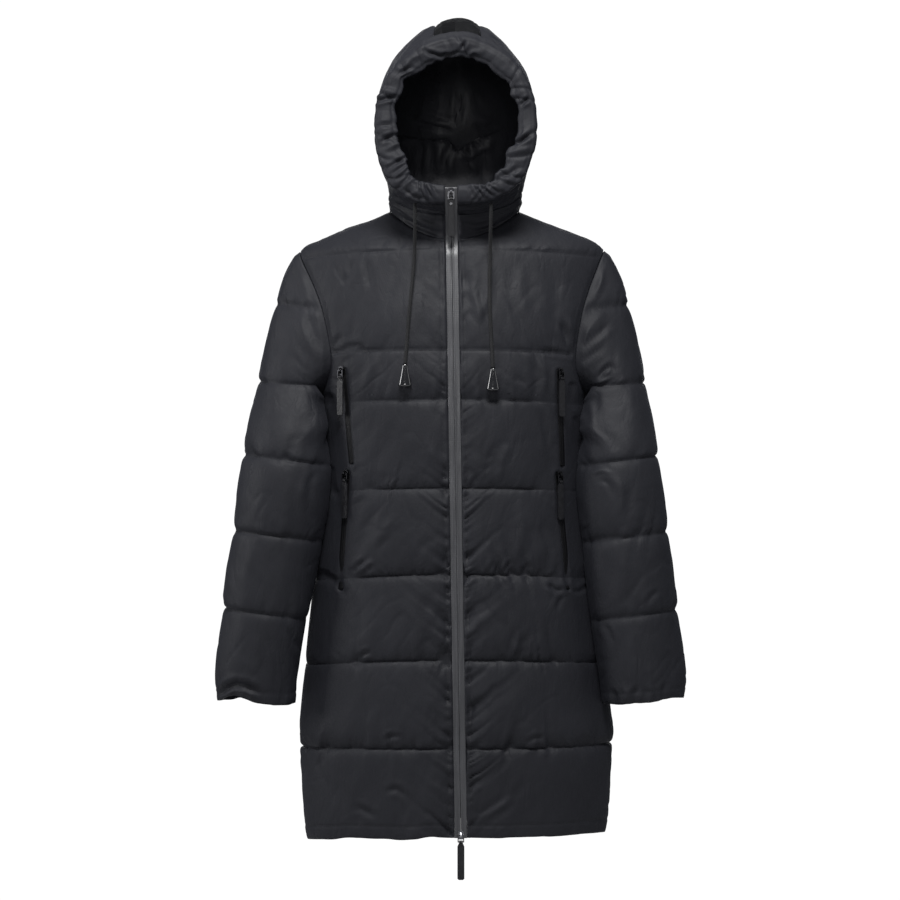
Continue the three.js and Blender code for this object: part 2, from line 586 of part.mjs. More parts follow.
// ---------------------------------------------------------------- pocket zips
// row whose height at the given x is z, and the point and frame there
function frontAt(x, z) {
  let a = 0;
  let q = 0;
  for (let k = 0; k < 4; k++) {
    for (let i = 0, lo = 0, hi = 8; i < 40; i++) {
      q = (lo + hi) / 2;
      if (torsoBase(a, q).z < z) lo = q;
      else hi = q;
    }
    const side = Math.sign(x - zipX(z)) || 1;
    a = edgeAngle(torsoBase, q, side, Math.abs(x - zipX(z)));
  }
  return { a, q };
}
function onFront(x, z, off) {
  const { a, q } = frontAt(x, z);
  return torso(a, q, off);
}
function pocketZip(pocket) {
  const steps = 12;
  const grid = (off) =>
    range(steps, (i, t) => {
      const x = lerp(pocket.x1, pocket.x2, t);
      const z = lerp(pocket.z1 + 4, pocket.z2, t);
      return [-1, 0, 1].map((s) => onFront(x + s * POCKET_HALF * 0.8, z, off));
    });
  return wall(grid(0.5 + POCKET_THICK), grid(0.5));
}
for (const p of POCKETS) add(`zip_pocket_${p.name}`, pocketZip(p), "tape");

// ---------------------------------------------------------------- sliders, rings and tabs
// Each is drawn in a frame of its own: x across, y out of the cloth, z up the zip; the
// hinge of ring and tab is at (0, HINGE, 0).
const HINGE = SLIDER.thick + 1.35;
function roundedBox(w, h, d, r) {
  const s = new THREE.Shape();
  const x = w / 2;
  const y = h / 2;
  s.moveTo(-x + r, -y);
  s.lineTo(x - r, -y);
  s.absarc(x - r, -y + r, r, -Math.PI / 2, 0);
  s.lineTo(x, y - r);
  s.absarc(x - r, y - r, r, 0, Math.PI / 2);
  s.lineTo(-x + r, y);
  s.absarc(-x + r, y - r, r, Math.PI / 2, Math.PI);
  s.lineTo(-x, -y + r);
  s.absarc(-x + r, -y + r, r, Math.PI, Math.PI * 1.5);
  const g = new THREE.ExtrudeGeometry(s, { depth: d, bevelEnabled: false, curveSegments: 2 });
  return g;
}
function sliderGeometry() {
  // body: a rounded plate standing on the tape, and the bail that the ring hangs in
  const body = toSolid(roundedBox(SLIDER.width, SLIDER.length, SLIDER.thick, 2.4).rotateX(Math.PI / 2).translate(0, SLIDER.thick, 0));
  const bail = new THREE.Shape();
  const r = SLIDER.bail + SLIDER.wire;
  bail.absarc(0, 0, r, 0, Math.PI);
  bail.lineTo(-SLIDER.bail + SLIDER.wire, 0);
  bail.absarc(0, 0, SLIDER.bail - SLIDER.wire, Math.PI, 0, true);
  bail.lineTo(r, 0);
  const arch = new THREE.ExtrudeGeometry(bail, { depth: 2.2, bevelEnabled: false, curveSegments: 6 });
  // the arch stands in the plane of y and z, its feet sunk in the plate
  arch.translate(0, SLIDER.thick - 0.4, -1.1).rotateY(Math.PI / 2);
  return fromSolid(body.add(toSolid(arch)));
}
function ringGeometry() {
  // an oblong ring that passes through the bail and hangs below it
  const w = RING.width / 2;
  const h = RING.height;
  const s = new THREE.Shape();
  const e = RING.wire;
  s.moveTo(-w - e, e);
  s.lineTo(-w - e, -h - e);
  s.lineTo(w + e, -h - e);
  s.lineTo(w + e, e);
  s.closePath();
  const hole = new THREE.Path();
  hole.moveTo(-w + e, -e);
  hole.lineTo(w - e, -e);
  hole.lineTo(w - e, -h + e);
  hole.lineTo(-w + e, -h + e);
  hole.closePath();
  s.holes.push(hole);
  const g = new THREE.ExtrudeGeometry(s, { depth: e * 2, bevelEnabled: false });
  return g.rotateX(Math.PI / 2).translate(0, HINGE + e, 0).rotateX(0);
}
function tabGeometry() {
  // a strap folded round the ring's lower bar: a barrel with a bore, and the flat below it
  const z0 = -RING.height - 0.1;
  const profile = [
    new THREE.Vector2(TAB.bore, -2.9),
    new THREE.Vector2(TAB.barrel, -2.9),
    new THREE.Vector2(TAB.barrel, 2.9),
    new THREE.Vector2(TAB.bore, 2.9),
    new THREE.Vector2(TAB.bore, -2.9),
  ];
  const barrel = new THREE.LatheGeometry(profile, 12).rotateZ(Math.PI / 2).translate(0, HINGE, z0);
  const w = TAB.width / 2;
  const s = new THREE.Shape();
  s.moveTo(-2.9, -1.5);
  s.lineTo(-w, -7);
  s.lineTo(-w, -TAB.length + 2);
  s.lineTo(-w + 2, -TAB.length);
  s.lineTo(w - 2, -TAB.length);
  s.lineTo(w, -TAB.length + 2);
  s.lineTo(w, -7);
  s.lineTo(2.9, -1.5);
  s.closePath();
  const flat = new THREE.ExtrudeGeometry(s, { depth: TAB.thick, bevelEnabled: false });
  flat.rotateX(Math.PI / 2).translate(0, HINGE + TAB.thick / 2, z0);
  return fromSolid(toSolid(barrel).add(toSolid(flat)));
}
const SLIDER_GEOMETRY = sliderGeometry();
const RING_GEOMETRY = ringGeometry();
const TAB_GEOMETRY = tabGeometry();
// frame with its z straight up, turned about z so that its y leaves the cloth
function placeZip(name, at, turn, body = "metal", ring = "metal") {
  const holder = new THREE.Group();
  holder.position.copy(at);
  holder.rotation.z = turn;
  parka.add(holder);
  add(`slider_${name}`, SLIDER_GEOMETRY.clone(), body, holder);
  add(`ring_${name}`, RING_GEOMETRY.clone(), ring, holder);
  add(`tab_${name}`, TAB_GEOMETRY.clone(), "strap", holder);
  return holder;
}
// main zip: the top slider at the collar's top, the bottom one at the hem, back to front
const TOP = { z: 48 };
const BOTTOM = { z: -921 };
const topHolder = placeZip("main_top", new THREE.Vector3(zipX(TOP.z), zipY(TOP.z) - 1.8, TOP.z), Math.PI, "metal", "bright");
placeZip("main_bottom", new THREE.Vector3(zipX(BOTTOM.z), zipY(BOTTOM.z) - 1.4, BOTTOM.z), Math.PI, "bright", "metal");
add(
  "rivet_main",
  new THREE.CylinderGeometry(2, 2.3, 1, 16).translate(0, HINGE + TAB.thick / 2 + 0.3 + 0.5, -RING.height - 8),
  "bright",
  topHolder,
);
for (const p of POCKETS) {
  const at = onFront(p.x1, p.z1, 0);
  const { a, q } = frontAt(p.x1, p.z1);
  const n = normalOf(torsoBase, a, q);
  const flat = new THREE.Vector3(n.x, n.y, 0).normalize();
  at.addScaledVector(flat, 0.5 + POCKET_THICK + 0.5);
  placeZip(`pocket_${p.name}`, at, Math.atan2(-flat.x, flat.y));
}

// ---------------------------------------------------------------- drawcord
function cord(side) {
  const rows = side > 0 ? CORDS.left : CORDS.right;
  const fine = new THREE.CatmullRomCurve3(
    rows.map(({ x, z, off }) => {
      if (z > -20) {
        const p = onFront(x, -24, 0);
        return new THREE.Vector3(x, Math.min(p.y, -86) - off - (z > 10 ? 10 : 8), z);
      }
      const p = onFront(x, z, 0);
      return new THREE.Vector3(x, p.y - off, z);
    }),
  );
  const s = new THREE.Shape();
  for (let i = 0; i < 8; i++) {
    const a = (i / 8) * 2 * Math.PI;
    if (i === 0) s.moveTo(CORD_R, 0);
    else s.lineTo(CORD_R * Math.cos(a), CORD_R * Math.sin(a));
  }
  s.closePath();
  return { curve: fine, geometry: new THREE.ExtrudeGeometry(s, { steps: 18, extrudePath: fine, bevelEnabled: false }) };
}
for (const [name, side] of [["left", 1], ["right", -1]]) {
  const { curve, geometry } = cord(side);
  add(`cord_${name}`, geometry, "cord");
  const end = curve.getPoint(1);
  const e = CORD_END;
  const bell = new THREE.LatheGeometry(
    [
      new THREE.Vector2(0, 0),
      new THREE.Vector2(e.top, 0),
      new THREE.Vector2(e.top + 1.2, -5),
      new THREE.Vector2(e.bottom, -e.length + 3),
      new THREE.Vector2(e.bottom - 1, -e.length),
      new THREE.Vector2(0, -e.length),
    ].reverse(),
    16,
  );
  bell.rotateX(Math.PI / 2).scale(1, e.flat, 1).translate(end.x, end.y - 3.2, end.z - 0.4);
  add(`cord_end_${name}`, bell, "bell");
}

export default parka;
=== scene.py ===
import math

import bpy
import numpy as np
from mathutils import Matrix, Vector


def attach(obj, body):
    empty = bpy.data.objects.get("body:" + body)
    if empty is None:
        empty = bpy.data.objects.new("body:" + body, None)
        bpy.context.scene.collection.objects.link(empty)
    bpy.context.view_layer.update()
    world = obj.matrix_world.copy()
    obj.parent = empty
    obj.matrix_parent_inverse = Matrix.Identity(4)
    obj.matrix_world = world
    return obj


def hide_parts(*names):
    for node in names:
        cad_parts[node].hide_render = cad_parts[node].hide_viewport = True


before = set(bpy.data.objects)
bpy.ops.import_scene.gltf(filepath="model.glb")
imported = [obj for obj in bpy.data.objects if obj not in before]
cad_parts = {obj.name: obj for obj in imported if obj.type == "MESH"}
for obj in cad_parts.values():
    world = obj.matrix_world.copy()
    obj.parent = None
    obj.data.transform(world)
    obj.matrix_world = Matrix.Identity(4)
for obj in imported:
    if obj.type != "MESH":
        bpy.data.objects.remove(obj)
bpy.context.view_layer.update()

MM = 0.001

# ============================================================== camera, light and floor
cam = bpy.data.objects.new("camera", bpy.data.cameras.new("camera"))
bpy.context.scene.collection.objects.link(cam)
cam.location = (-0.009, -5.142, -0.342)
cam.rotation_euler = (math.pi / 2, 0, 0)
cam.data.lens = 133.333
cam.data.sensor_width = 36
cam.data.clip_end = 100
bpy.context.scene.camera = cam
bpy.context.scene.view_settings.view_transform = "Standard"

world = bpy.data.worlds.new("studio")
bpy.context.scene.world = world
world.use_nodes = True
wt = world.node_tree
wt.nodes.clear()
w_out = wt.nodes.new("ShaderNodeOutputWorld")
w_mix = wt.nodes.new("ShaderNodeMixShader")
w_path = wt.nodes.new("ShaderNodeLightPath")
w_dim = wt.nodes.new("ShaderNodeBackground")
w_dim.inputs["Color"].default_value = (0.86, 0.9, 1.0, 1)
w_dim.inputs["Strength"].default_value = 0.08
w_bright = wt.nodes.new("ShaderNodeBackground")
w_bright.inputs["Color"].default_value = (1, 1, 1, 1)
w_bright.inputs["Strength"].default_value = 1.05
wt.links.new(w_path.outputs["Is Camera Ray"], w_mix.inputs[0])
wt.links.new(w_dim.outputs[0], w_mix.inputs[1])
wt.links.new(w_bright.outputs[0], w_mix.inputs[2])
wt.links.new(w_mix.outputs[0], w_out.inputs[0])


def area(name, at, aim, size, power, colour=(1, 1, 1)):
    light = bpy.data.lights.new(name, "AREA")
    light.shape = "RECTANGLE"
    light.size, light.size_y = size
    light.energy = power
    light.color = colour
    o = bpy.data.objects.new(name, light)
    bpy.context.scene.collection.objects.link(o)
    o.location = at
    o.visible_camera = False
    o.rotation_euler = (Vector(aim) - Vector(at)).to_track_quat("-Z", "Y").to_euler()
    return o


area("key", (0.0, -1.75, 2.15), (0, 0, -0.1), (1.1, 0.7), 66)
area("front", (-0.3, -5.7, 0.7), (0, 0, -0.1), (1.4, 1.5), 24)
area("side_left", (-2.7, -0.6, 0.4), (0, 0, -0.3), (0.8, 1.6), 24)
area("side_right", (2.6, -0.9, 0.4), (0, 0, -0.3), (1.0, 2.0), 3.5)
area("top", (0.0, 0.2, 2.4), (0, 0, 0), (1.6, 1.0), 6)
area("rear", (0.0, 3.4, 0.3), (0, 0, -0.4), (2.6, 2.4), 32)


# ============================================================== materials
def new_material(name):
    m = bpy.data.materials.new(name)
    m.use_nodes = True
    nt = m.node_tree
    nt.nodes.clear()
    out = nt.nodes.new("ShaderNodeOutputMaterial")
    bsdf = nt.nodes.new("ShaderNodeBsdfPrincipled")
    nt.links.new(bsdf.outputs[0], out.inputs[0])
    return m, nt, bsdf


def tex(nt, kind, vector, **inputs):
    n = nt.nodes.new(kind)
    for k, v in inputs.items():
        if k in n.inputs:
            n.inputs[k].default_value = v
        else:
            setattr(n, k, v)
    nt.links.new(vector, n.inputs["Vector"])
    return n


def mapping(nt, scale, rotation=(0, 0, 0)):
    tc = nt.nodes.new("ShaderNodeTexCoord")
    mp = nt.nodes.new("ShaderNodeMapping")
    mp.inputs["Scale"].default_value = scale
    mp.inputs["Rotation"].default_value = rotation
    nt.links.new(tc.outputs["Object"], mp.inputs["Vector"])
    return mp.outputs["Vector"]


def ramp(nt, fac, stops):
    r = nt.nodes.new("ShaderNodeValToRGB")
    while len(r.color_ramp.elements) < len(stops):
        r.color_ramp.elements.new(0.5)
    for e, (p, c) in zip(r.color_ramp.elements, stops):
        e.position = p
        e.color = (*c, 1) if len(c) == 3 else c
    nt.links.new(fac, r.inputs["Fac"])
    return r.outputs["Color"]


def bump(nt, height, strength, distance, under=None):
    b = nt.nodes.new("ShaderNodeBump")
    b.inputs["Strength"].default_value = strength
    b.inputs["Distance"].default_value = distance
    nt.links.new(height, b.inputs["Height"])
    if under is not None:
        nt.links.new(under, b.inputs["Normal"])
    return b.outputs["Normal"]


def math_node(nt, op, a, b=None):
    n = nt.nodes.new("ShaderNodeMath")
    n.operation = op
    for i, v in enumerate((a, b)):
        if v is None:
            continue
        if isinstance(v, (int, float)):
            n.inputs[i].default_value = v
        else:
            nt.links.new(v, n.inputs[i])
    return n.outputs[0]


def woven(name, dark, light, rough, spread=0.06, weave=1500.0, crinkle=0.5, sheen=0.02, specular=0.38, fold=1.0, lean=0.3):
    """Woven cloth: a fine plain weave, papery micro creases and a slow change of tone."""
    m, nt, bsdf = new_material(name)
    here = mapping(nt, (1, 1, 1))
    tone = tex(nt, "ShaderNodeTexNoise", here, Scale=9.0, Detail=4.0, Roughness=0.55)
    nt.links.new(ramp(nt, tone.outputs["Fac"], [(0.3, dark), (0.7, light)]), bsdf.inputs["Base Color"])
    # threads: two crossed sets, running round and up the cloth
    wx = tex(nt, "ShaderNodeTexWave", mapping(nt, (1, 1, 0.05)), Scale=weave / 6.2832, Distortion=0.4)
    wx.bands_direction = "DIAGONAL"
    wz = tex(nt, "ShaderNodeTexWave", here, Scale=weave / 6.2832, Distortion=0.4)
    wz.bands_direction = "Z"
    threads = math_node(nt, "ADD", wx.outputs["Fac"], wz.outputs["Fac"])
    # papery creases: fine grain, then sharp-backed wrinkles leaning both ways
    fine = tex(nt, "ShaderNodeTexNoise", here, Scale=260.0, Detail=3.0, Roughness=0.6)
    r1 = tex(nt, "ShaderNodeTexNoise", mapping(nt, (1, 1, 0.36), (0, lean, 0)), Scale=44.0, Detail=3.0, Roughness=0.45, Distortion=0.5)
    r2 = tex(nt, "ShaderNodeTexNoise", mapping(nt, (1, 1, 0.5), (0, -1.1 * lean, 0)), Scale=27.0, Detail=2.0, Roughness=0.4, Distortion=0.8)

    def crease(fac, sharp):
        # folds where the noise crosses its middle value
        away = math_node(nt, "ABSOLUTE", math_node(nt, "SUBTRACT", fac, 0.5))
        return math_node(nt, "MINIMUM", math_node(nt, "MULTIPLY", away, sharp), 1.0)

    n1 = bump(nt, threads, 0.22, 0.00012)
    n2 = bump(nt, fine.outputs["Fac"], crinkle * 0.7, 0.0008, n1)
    some = tex(nt, "ShaderNodeTexNoise", here, Scale=17.0, Detail=1.0)
    here1 = math_node(nt, "MULTIPLY", crease(r1.outputs["Fac"], 8.0), math_node(nt, "SMOOTH_MAX", math_node(nt, "SUBTRACT", some.outputs["Fac"], 0.45), 0.0))
    here2 = math_node(nt, "MULTIPLY", crease(r2.outputs["Fac"], 6.0), math_node(nt, "SMOOTH_MAX", math_node(nt, "SUBTRACT", 0.55, some.outputs["Fac"]), 0.0))
    n3 = bump(nt, here1, crinkle, 0.0034 * fold, n2)
    n4 = bump(nt, here2, crinkle, 0.0042 * fold, n3)
    nt.links.new(n4, bsdf.inputs["Normal"])
    patch = tex(nt, "ShaderNodeTexNoise", here, Scale=26.0, Detail=3.0, Roughness=0.6)
    nt.links.new(
        ramp(nt, patch.outputs["Fac"], [(0.25, (rough - spread,) * 3), (0.75, (rough + spread,) * 3)]),
        bsdf.inputs["Roughness"],
    )
    bsdf.inputs["Specular IOR Level"].default_value = specular
    bsdf.inputs["Sheen Weight"].default_value = sheen
    bsdf.inputs["Sheen Roughness"].default_value = 0.5
    bsdf.inputs["Sheen Tint"].default_value = (0.72, 0.78, 1.0, 1)
    return m


SHELL = woven("shell_nylon", (0.0185, 0.0192, 0.0245), (0.025, 0.0258, 0.0322), 0.61, specular=0.34)
DARK_SHELL = woven("centre_panel_nylon", (0.004, 0.0042, 0.005), (0.0065, 0.0067, 0.008), 0.62, sheen=0.0, specular=0.25)
# the lining's base colour is set about twice as light as the shell's: partly its own colour, partly painted fill light
# that lifts the shade inside the hood
LINING = woven("lining_satin", (0.04, 0.041, 0.048), (0.06, 0.061, 0.071), 0.5, 0.05, weave=2600.0, crinkle=0.4, sheen=0.0, specular=0.55, fold=1.2)
DARK_TAPE = woven("pocket_tape", (0.004, 0.004, 0.005), (0.007, 0.0071, 0.0085), 0.5, 0.05, weave=3200.0, crinkle=0.2, sheen=0.0, specular=0.3)


def tape_material():
    m, nt, bsdf = new_material("laminated_tape_painted_highlight")
    here = mapping(nt, (1, 1, 1))
    tone = tex(nt, "ShaderNodeTexNoise", mapping(nt, (260, 1, 9)), Scale=1.0, Detail=3.0)
    # light grey base colour with random streaks: its lightness is painted highlight, standing in for the lights'
    # reflection along the laminated tape
    nt.links.new(ramp(nt, tone.outputs["Fac"], [(0.3, (0.075, 0.076, 0.082)), (0.75, (0.12, 0.121, 0.13))]), bsdf.inputs["Base Color"])
    ribs = tex(nt, "ShaderNodeTexWave", here, Scale=190.0, Distortion=0.15)
    ribs.bands_direction = "X"
    coil = tex(nt, "ShaderNodeTexWave", here, Scale=110.0, Distortion=0.0)
    coil.bands_direction = "Z"
    n1 = bump(nt, ribs.outputs["Fac"], 0.35, 0.0004)
    n2 = bump(nt, coil.outputs["Fac"], 0.18, 0.0003, n1)
    nt.links.new(n2, bsdf.inputs["Normal"])
    nt.links.new(ramp(nt, tone.outputs["Fac"], [(0.2, (0.36,) * 3), (0.8, (0.46,) * 3)]), bsdf.inputs["Roughness"])
    bsdf.inputs["Specular IOR Level"].default_value = 0.6
    bsdf.inputs["Coat Weight"].default_value = 0.2
    bsdf.inputs["Coat Roughness"].default_value = 0.18
    return m


def metal(name, colour, rough):
    m, nt, bsdf = new_material(name)
    here = mapping(nt, (1, 1, 1))
    wear = tex(nt, "ShaderNodeTexNoise", here, Scale=420.0, Detail=4.0, Roughness=0.65)
    nt.links.new(ramp(nt, wear.outputs["Fac"], [(0.3, tuple(c * 0.8 for c in colour)), (0.72, colour)]), bsdf.inputs["Base Color"])
    nt.links.new(ramp(nt, wear.outputs["Fac"], [(0.3, (rough,) * 3), (0.7, (rough + 0.12,) * 3)]), bsdf.inputs["Roughness"])
    nt.links.new(bump(nt, wear.outputs["Fac"], 0.15, 0.0002), bsdf.inputs["Normal"])
    bsdf.inputs["Metallic"].default_value = 1.0
    return m


def strap_material():
    m, nt, bsdf = new_material("strap_grain")
    here = mapping(nt, (1, 1, 1))
    grain = tex(nt, "ShaderNodeTexVoronoi", here, Scale=1500.0)
    tone = tex(nt, "ShaderNodeTexNoise", here, Scale=160.0, Detail=4.0)
    nt.links.new(ramp(nt, tone.outputs["Fac"], [(0.3, (0.011, 0.011, 0.013)), (0.75, (0.022, 0.022, 0.026))]), bsdf.inputs["Base Color"])
    nt.links.new(bump(nt, grain.outputs["Distance"], 0.4, 0.00025), bsdf.inputs["Normal"])
    nt.links.new(ramp(nt, tone.outputs["Fac"], [(0.3, (0.34,) * 3), (0.7, (0.5,) * 3)]), bsdf.inputs["Roughness"])
    return m


def bell_material():
    m, nt, bsdf = new_material("bell_gloss")
    here = mapping(nt, (1, 1, 1))
    tone = tex(nt, "ShaderNodeTexNoise", here, Scale=180.0, Detail=3.0)
    nt.links.new(ramp(nt, tone.outputs["Fac"], [(0.3, (0.008, 0.008, 0.009)), (0.75, (0.016, 0.016, 0.018))]), bsdf.inputs["Base Color"])
    nt.links.new(ramp(nt, tone.outputs["Fac"], [(0.3, (0.09,) * 3), (0.7, (0.16,) * 3)]), bsdf.inputs["Roughness"])
    nt.links.new(bump(nt, tone.outputs["Fac"], 0.2, 0.0004), bsdf.inputs["Normal"])
    bsdf.inputs["Specular IOR Level"].default_value = 1.0
    bsdf.inputs["Coat Weight"].default_value = 1.0
    bsdf.inputs["Coat IOR"].default_value = 2.0
    bsdf.inputs["Coat Roughness"].default_value = 0.08
    return m


def cord_material():
    m, nt, bsdf = new_material("braided_cord")
    a = tex(nt, "ShaderNodeTexWave", mapping(nt, (1, 0.4, 1), (0, 0.6, 0)), Scale=150.0, Distortion=0.3)
    a.bands_direction = "Z"
    b = tex(nt, "ShaderNodeTexWave", mapping(nt, (1, 0.4, 1), (0, -0.6, 0)), Scale=150.0, Distortion=0.3)
    b.bands_direction = "Z"
    braid = math_node(nt, "MULTIPLY", a.outputs["Fac"], b.outputs["Fac"])
    nt.links.new(ramp(nt, braid, [(0.0, (0.004, 0.004, 0.005)), (0.8, (0.014, 0.0145, 0.0172))]), bsdf.inputs["Base Color"])
    nt.links.new(bump(nt, braid, 0.7, 0.0006), bsdf.inputs["Normal"])
    bsdf.inputs["Roughness"].default_value = 0.72
    bsdf.inputs["Sheen Weight"].default_value = 0.08
    return m


TAPE = tape_material()
DARK_METAL = metal("dark_metal", (0.055, 0.055, 0.06), 0.3)
BRIGHT_METAL = metal("bright_metal", (0.62, 0.62, 0.64), 0.18)
NICKEL = metal("dark_nickel", (0.2, 0.2, 0.21), 0.26)
STRAP = strap_material()
BELL = bell_material()
CORD = cord_material()


def thread_material():
    m, nt, bsdf = new_material("sewing_thread")
    here = mapping(nt, (1, 1, 1))
    twist = tex(nt, "ShaderNodeTexNoise", here, Scale=2200.0, Detail=2.0)
    nt.links.new(ramp(nt, twist.outputs["Fac"], [(0.3, (0.012, 0.012, 0.014)), (0.7, (0.03, 0.031, 0.036))]), bsdf.inputs["Base Color"])
    nt.links.new(bump(nt, twist.outputs["Fac"], 0.4, 0.0001), bsdf.inputs["Normal"])
    bsdf.inputs["Roughness"].default_value = 0.55
    return m


THREAD = thread_material()


# ============================================================== mesh building
def build(name, points, quads, tris=None, material=None, stands_for=(), body="coat", smooth=True):
    """A mesh from points in millimetres, quads and triangles, riding on a CAD body."""
    quads = np.asarray(quads, np.int32).reshape(-1, 4)
    tris = np.zeros((0, 3), np.int32) if tris is None else np.asarray(tris, np.int32).reshape(-1, 3)
    points = np.asarray(points, float)
    # outward faces: flip all if the enclosed volume is negative
    a, b, c, d = (points[quads[:, i]] for i in range(4))
    vol = (a * np.cross(b, c)).sum() + (a * np.cross(c, d)).sum()
    if len(tris):
        e, f, g = (points[tris[:, i]] for i in range(3))
        vol += (e * np.cross(f, g)).sum()
    if vol < 0:
        quads, tris = quads[:, ::-1], tris[:, ::-1]
    me = bpy.data.meshes.new(name)
    me.vertices.add(len(points))
    me.vertices.foreach_set("co", (points * MM).astype(np.float32).ravel())
    loops = np.concatenate([quads.ravel(), tris.ravel()]).astype(np.int32)
    me.loops.add(len(loops))
    me.loops.foreach_set("vertex_index", loops)
    nq, nt = len(quads), len(tris)
    me.polygons.add(nq + nt)
    me.polygons.foreach_set("loop_start", np.concatenate([np.arange(nq) * 4, nq * 4 + np.arange(nt) * 3]).astype(np.int32))
    me.polygons.foreach_set("loop_total", np.concatenate([np.full(nq, 4), np.full(nt, 3)]).astype(np.int32))
    me.update(calc_edges=True)
    me.validate()
    me.polygons.foreach_set("use_smooth", np.full(len(me.polygons), smooth))
    o = bpy.data.objects.new(name, me)
    bpy.context.scene.collection.objects.link(o)
    if material is not None:
        me.materials.append(material)
    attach(o, body)
    if stands_for:
        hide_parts(*stands_for)
    return o


def shell(outer, inner, wrap=False, step=3):
    """Points, quads and triangles of a closed wall: a fine outer grid, a coarse inner one
    sampled from inner every few rows and columns, and the edges between them."""
    rows, cols = outer.shape[:2]
    ri = sorted(set(list(range(0, rows - 1, step)) + [rows - 1]))
    ci = list(range(0, cols, step)) if wrap else sorted(set(list(range(0, cols - 1, step)) + [cols - 1]))
    points = np.concatenate([outer.reshape(-1, 3), inner[np.ix_(ri, ci)].reshape(-1, 3)])
    n0, ic = rows * cols, len(ci)
    oid = lambda r, c: r * cols + (c % cols)
    r, c = np.meshgrid(np.arange(rows - 1), np.arange(cols if wrap else cols - 1), indexing="ij")
    quads = [np.stack([oid(r, c), oid(r, c + 1), oid(r + 1, c + 1), oid(r + 1, c)], -1).reshape(-1, 4)]
    iid = lambda k, j: n0 + k * ic + (j % ic)
    k, j = np.meshgrid(np.arange(len(ri) - 1), np.arange(ic if wrap else ic - 1), indexing="ij")
    quads.append(np.stack([iid(k, j), iid(k + 1, j), iid(k + 1, j + 1), iid(k, j + 1)], -1).reshape(-1, 4))
    tris = []

    def strip(o_ids, i_ids, marks, forward):
        for s in range(len(marks) - 1):
            for t in range(marks[s], marks[s + 1]):
                tri = (o_ids[t + 1], o_ids[t], i_ids[s])
                tris.append(tri if forward else tri[::-1])
            tri = (o_ids[marks[s + 1]], i_ids[s], i_ids[s + 1])
            tris.append(tri if forward else tri[::-1])

    marks_c = ci + [cols] if wrap else ci
    span = range(cols + 1) if wrap else range(cols)
    last = len(marks_c)
    strip([oid(0, t) for t in span], [iid(0, t) for t in range(last)], marks_c, True)
    strip([oid(rows - 1, t) for t in span], [iid(len(ri) - 1, t) for t in range(last)], marks_c, False)
    if not wrap:
        strip([oid(t, 0) for t in range(rows)], [iid(t, 0) for t in range(len(ri))], ri, False)
        strip([oid(t, cols - 1) for t in range(rows)], [iid(t, ic - 1) for t in range(len(ri))], ri, True)
    return points, np.concatenate(quads), np.array(tris, np.int32)


def normals_of(P, wrap=False, sign=1.0):
    """Unit normals of a grid of points [row][column]."""
    if wrap:
        dc = np.roll(P, -1, 1) - np.roll(P, 1, 1)
    else:
        dc = np.gradient(P, axis=1)
    dr = np.gradient(P, axis=0)
    n = np.cross(dc, dr)
    return sign * n / np.maximum(np.linalg.norm(n, axis=-1, keepdims=True), 1e-9)


def smooth(a, b, x):
    t = np.clip((x - a) / (b - a), 0, 1)
    return t * t * (3 - 2 * t)


def lerp(a, b, t):
    return a + (b - a) * t


def power(s, n):
    return np.sign(s) * np.abs(s) ** (2 / n)


def noise1(u, seed):
    """Smooth noise along a line, from -1 to 1, the same each run."""
    tab = np.random.default_rng(seed).uniform(-1, 1, 4096)
    i = np.floor(u).astype(int)
    f = u - i
    f = f * f * f * (f * (f * 6 - 15) + 10)
    return tab[i % 4096] * (1 - f) + tab[(i + 1) % 4096] * f


def noise2(u, v, seed):
    tab = np.random.default_rng(seed).uniform(-1, 1, (128, 128))
    iu, iv = np.floor(u).astype(int), np.floor(v).astype(int)
    fu, fv = u - iu, v - iv
    fu = fu * fu * fu * (fu * (fu * 6 - 15) + 10)
    fv = fv * fv * fv * (fv * (fv * 6 - 15) + 10)
    g = lambda a, b: tab[(iu + a) % 128, (iv + b) % 128]
    return (g(0, 0) * (1 - fu) + g(1, 0) * fu) * (1 - fv) + (g(0, 1) * (1 - fu) + g(1, 1) * fu) * fv


def rough2(u, v, seed, octaves=3):
    return sum(noise2(u * 2**k, v * 2**k, seed + k) / 1.8**k for k in range(octaves))


# ============================================================== section tables (mm), as in the CAD
def table(names, rows):
    a = np.array(rows, float)
    return {n: a[:, i] for i, n in enumerate(names.split())}


TORSO = table(
    "q zF zL zR zB L R F B n",
    [
        (0, -926, -932, -921, -926, 239, 224, 131, 122, 2.4),
        (1, -792, -796, -790, -790, 247, 237, 139, 125, 2.4),
        (2, -659, -670, -667, -662, 236, 226, 141, 123, 2.35),
        (3, -530, -542, -539, -532, 221, 217, 142, 121, 2.3),
        (4, -400, -407, -406, -400, 207, 206, 142, 124, 2.3),
        (5, -267, -274, -276, -270, 208, 208, 140, 132, 2.25),
        (6, -192, -196, -200, -190, 222, 221, 133, 136, 2.2),
        (6.4, -130, -134, -136, -125, 234, 233, 122, 134, 2.1),
        (6.75, -78, -88, -90, -65, 240, 238, 107, 122, 2.05),
        (7, -38, -50, -48, -25, 243, 241, 96, 104, 2),
        (7.15, -35, -32, -31, -14, 233, 235, 94, 99, 2),
        (7.35, -32, -18, -17, -2, 205, 215, 92, 92, 2),
        (7.65, -28, 2, 2, 12, 160, 169, 89, 84, 2),
        (7.85, -25, 14, 14, 18, 125, 137, 87, 79, 2),
        (8, -23, 25, 25, 24, 95, 105, 85, 75, 2),
    ],
)
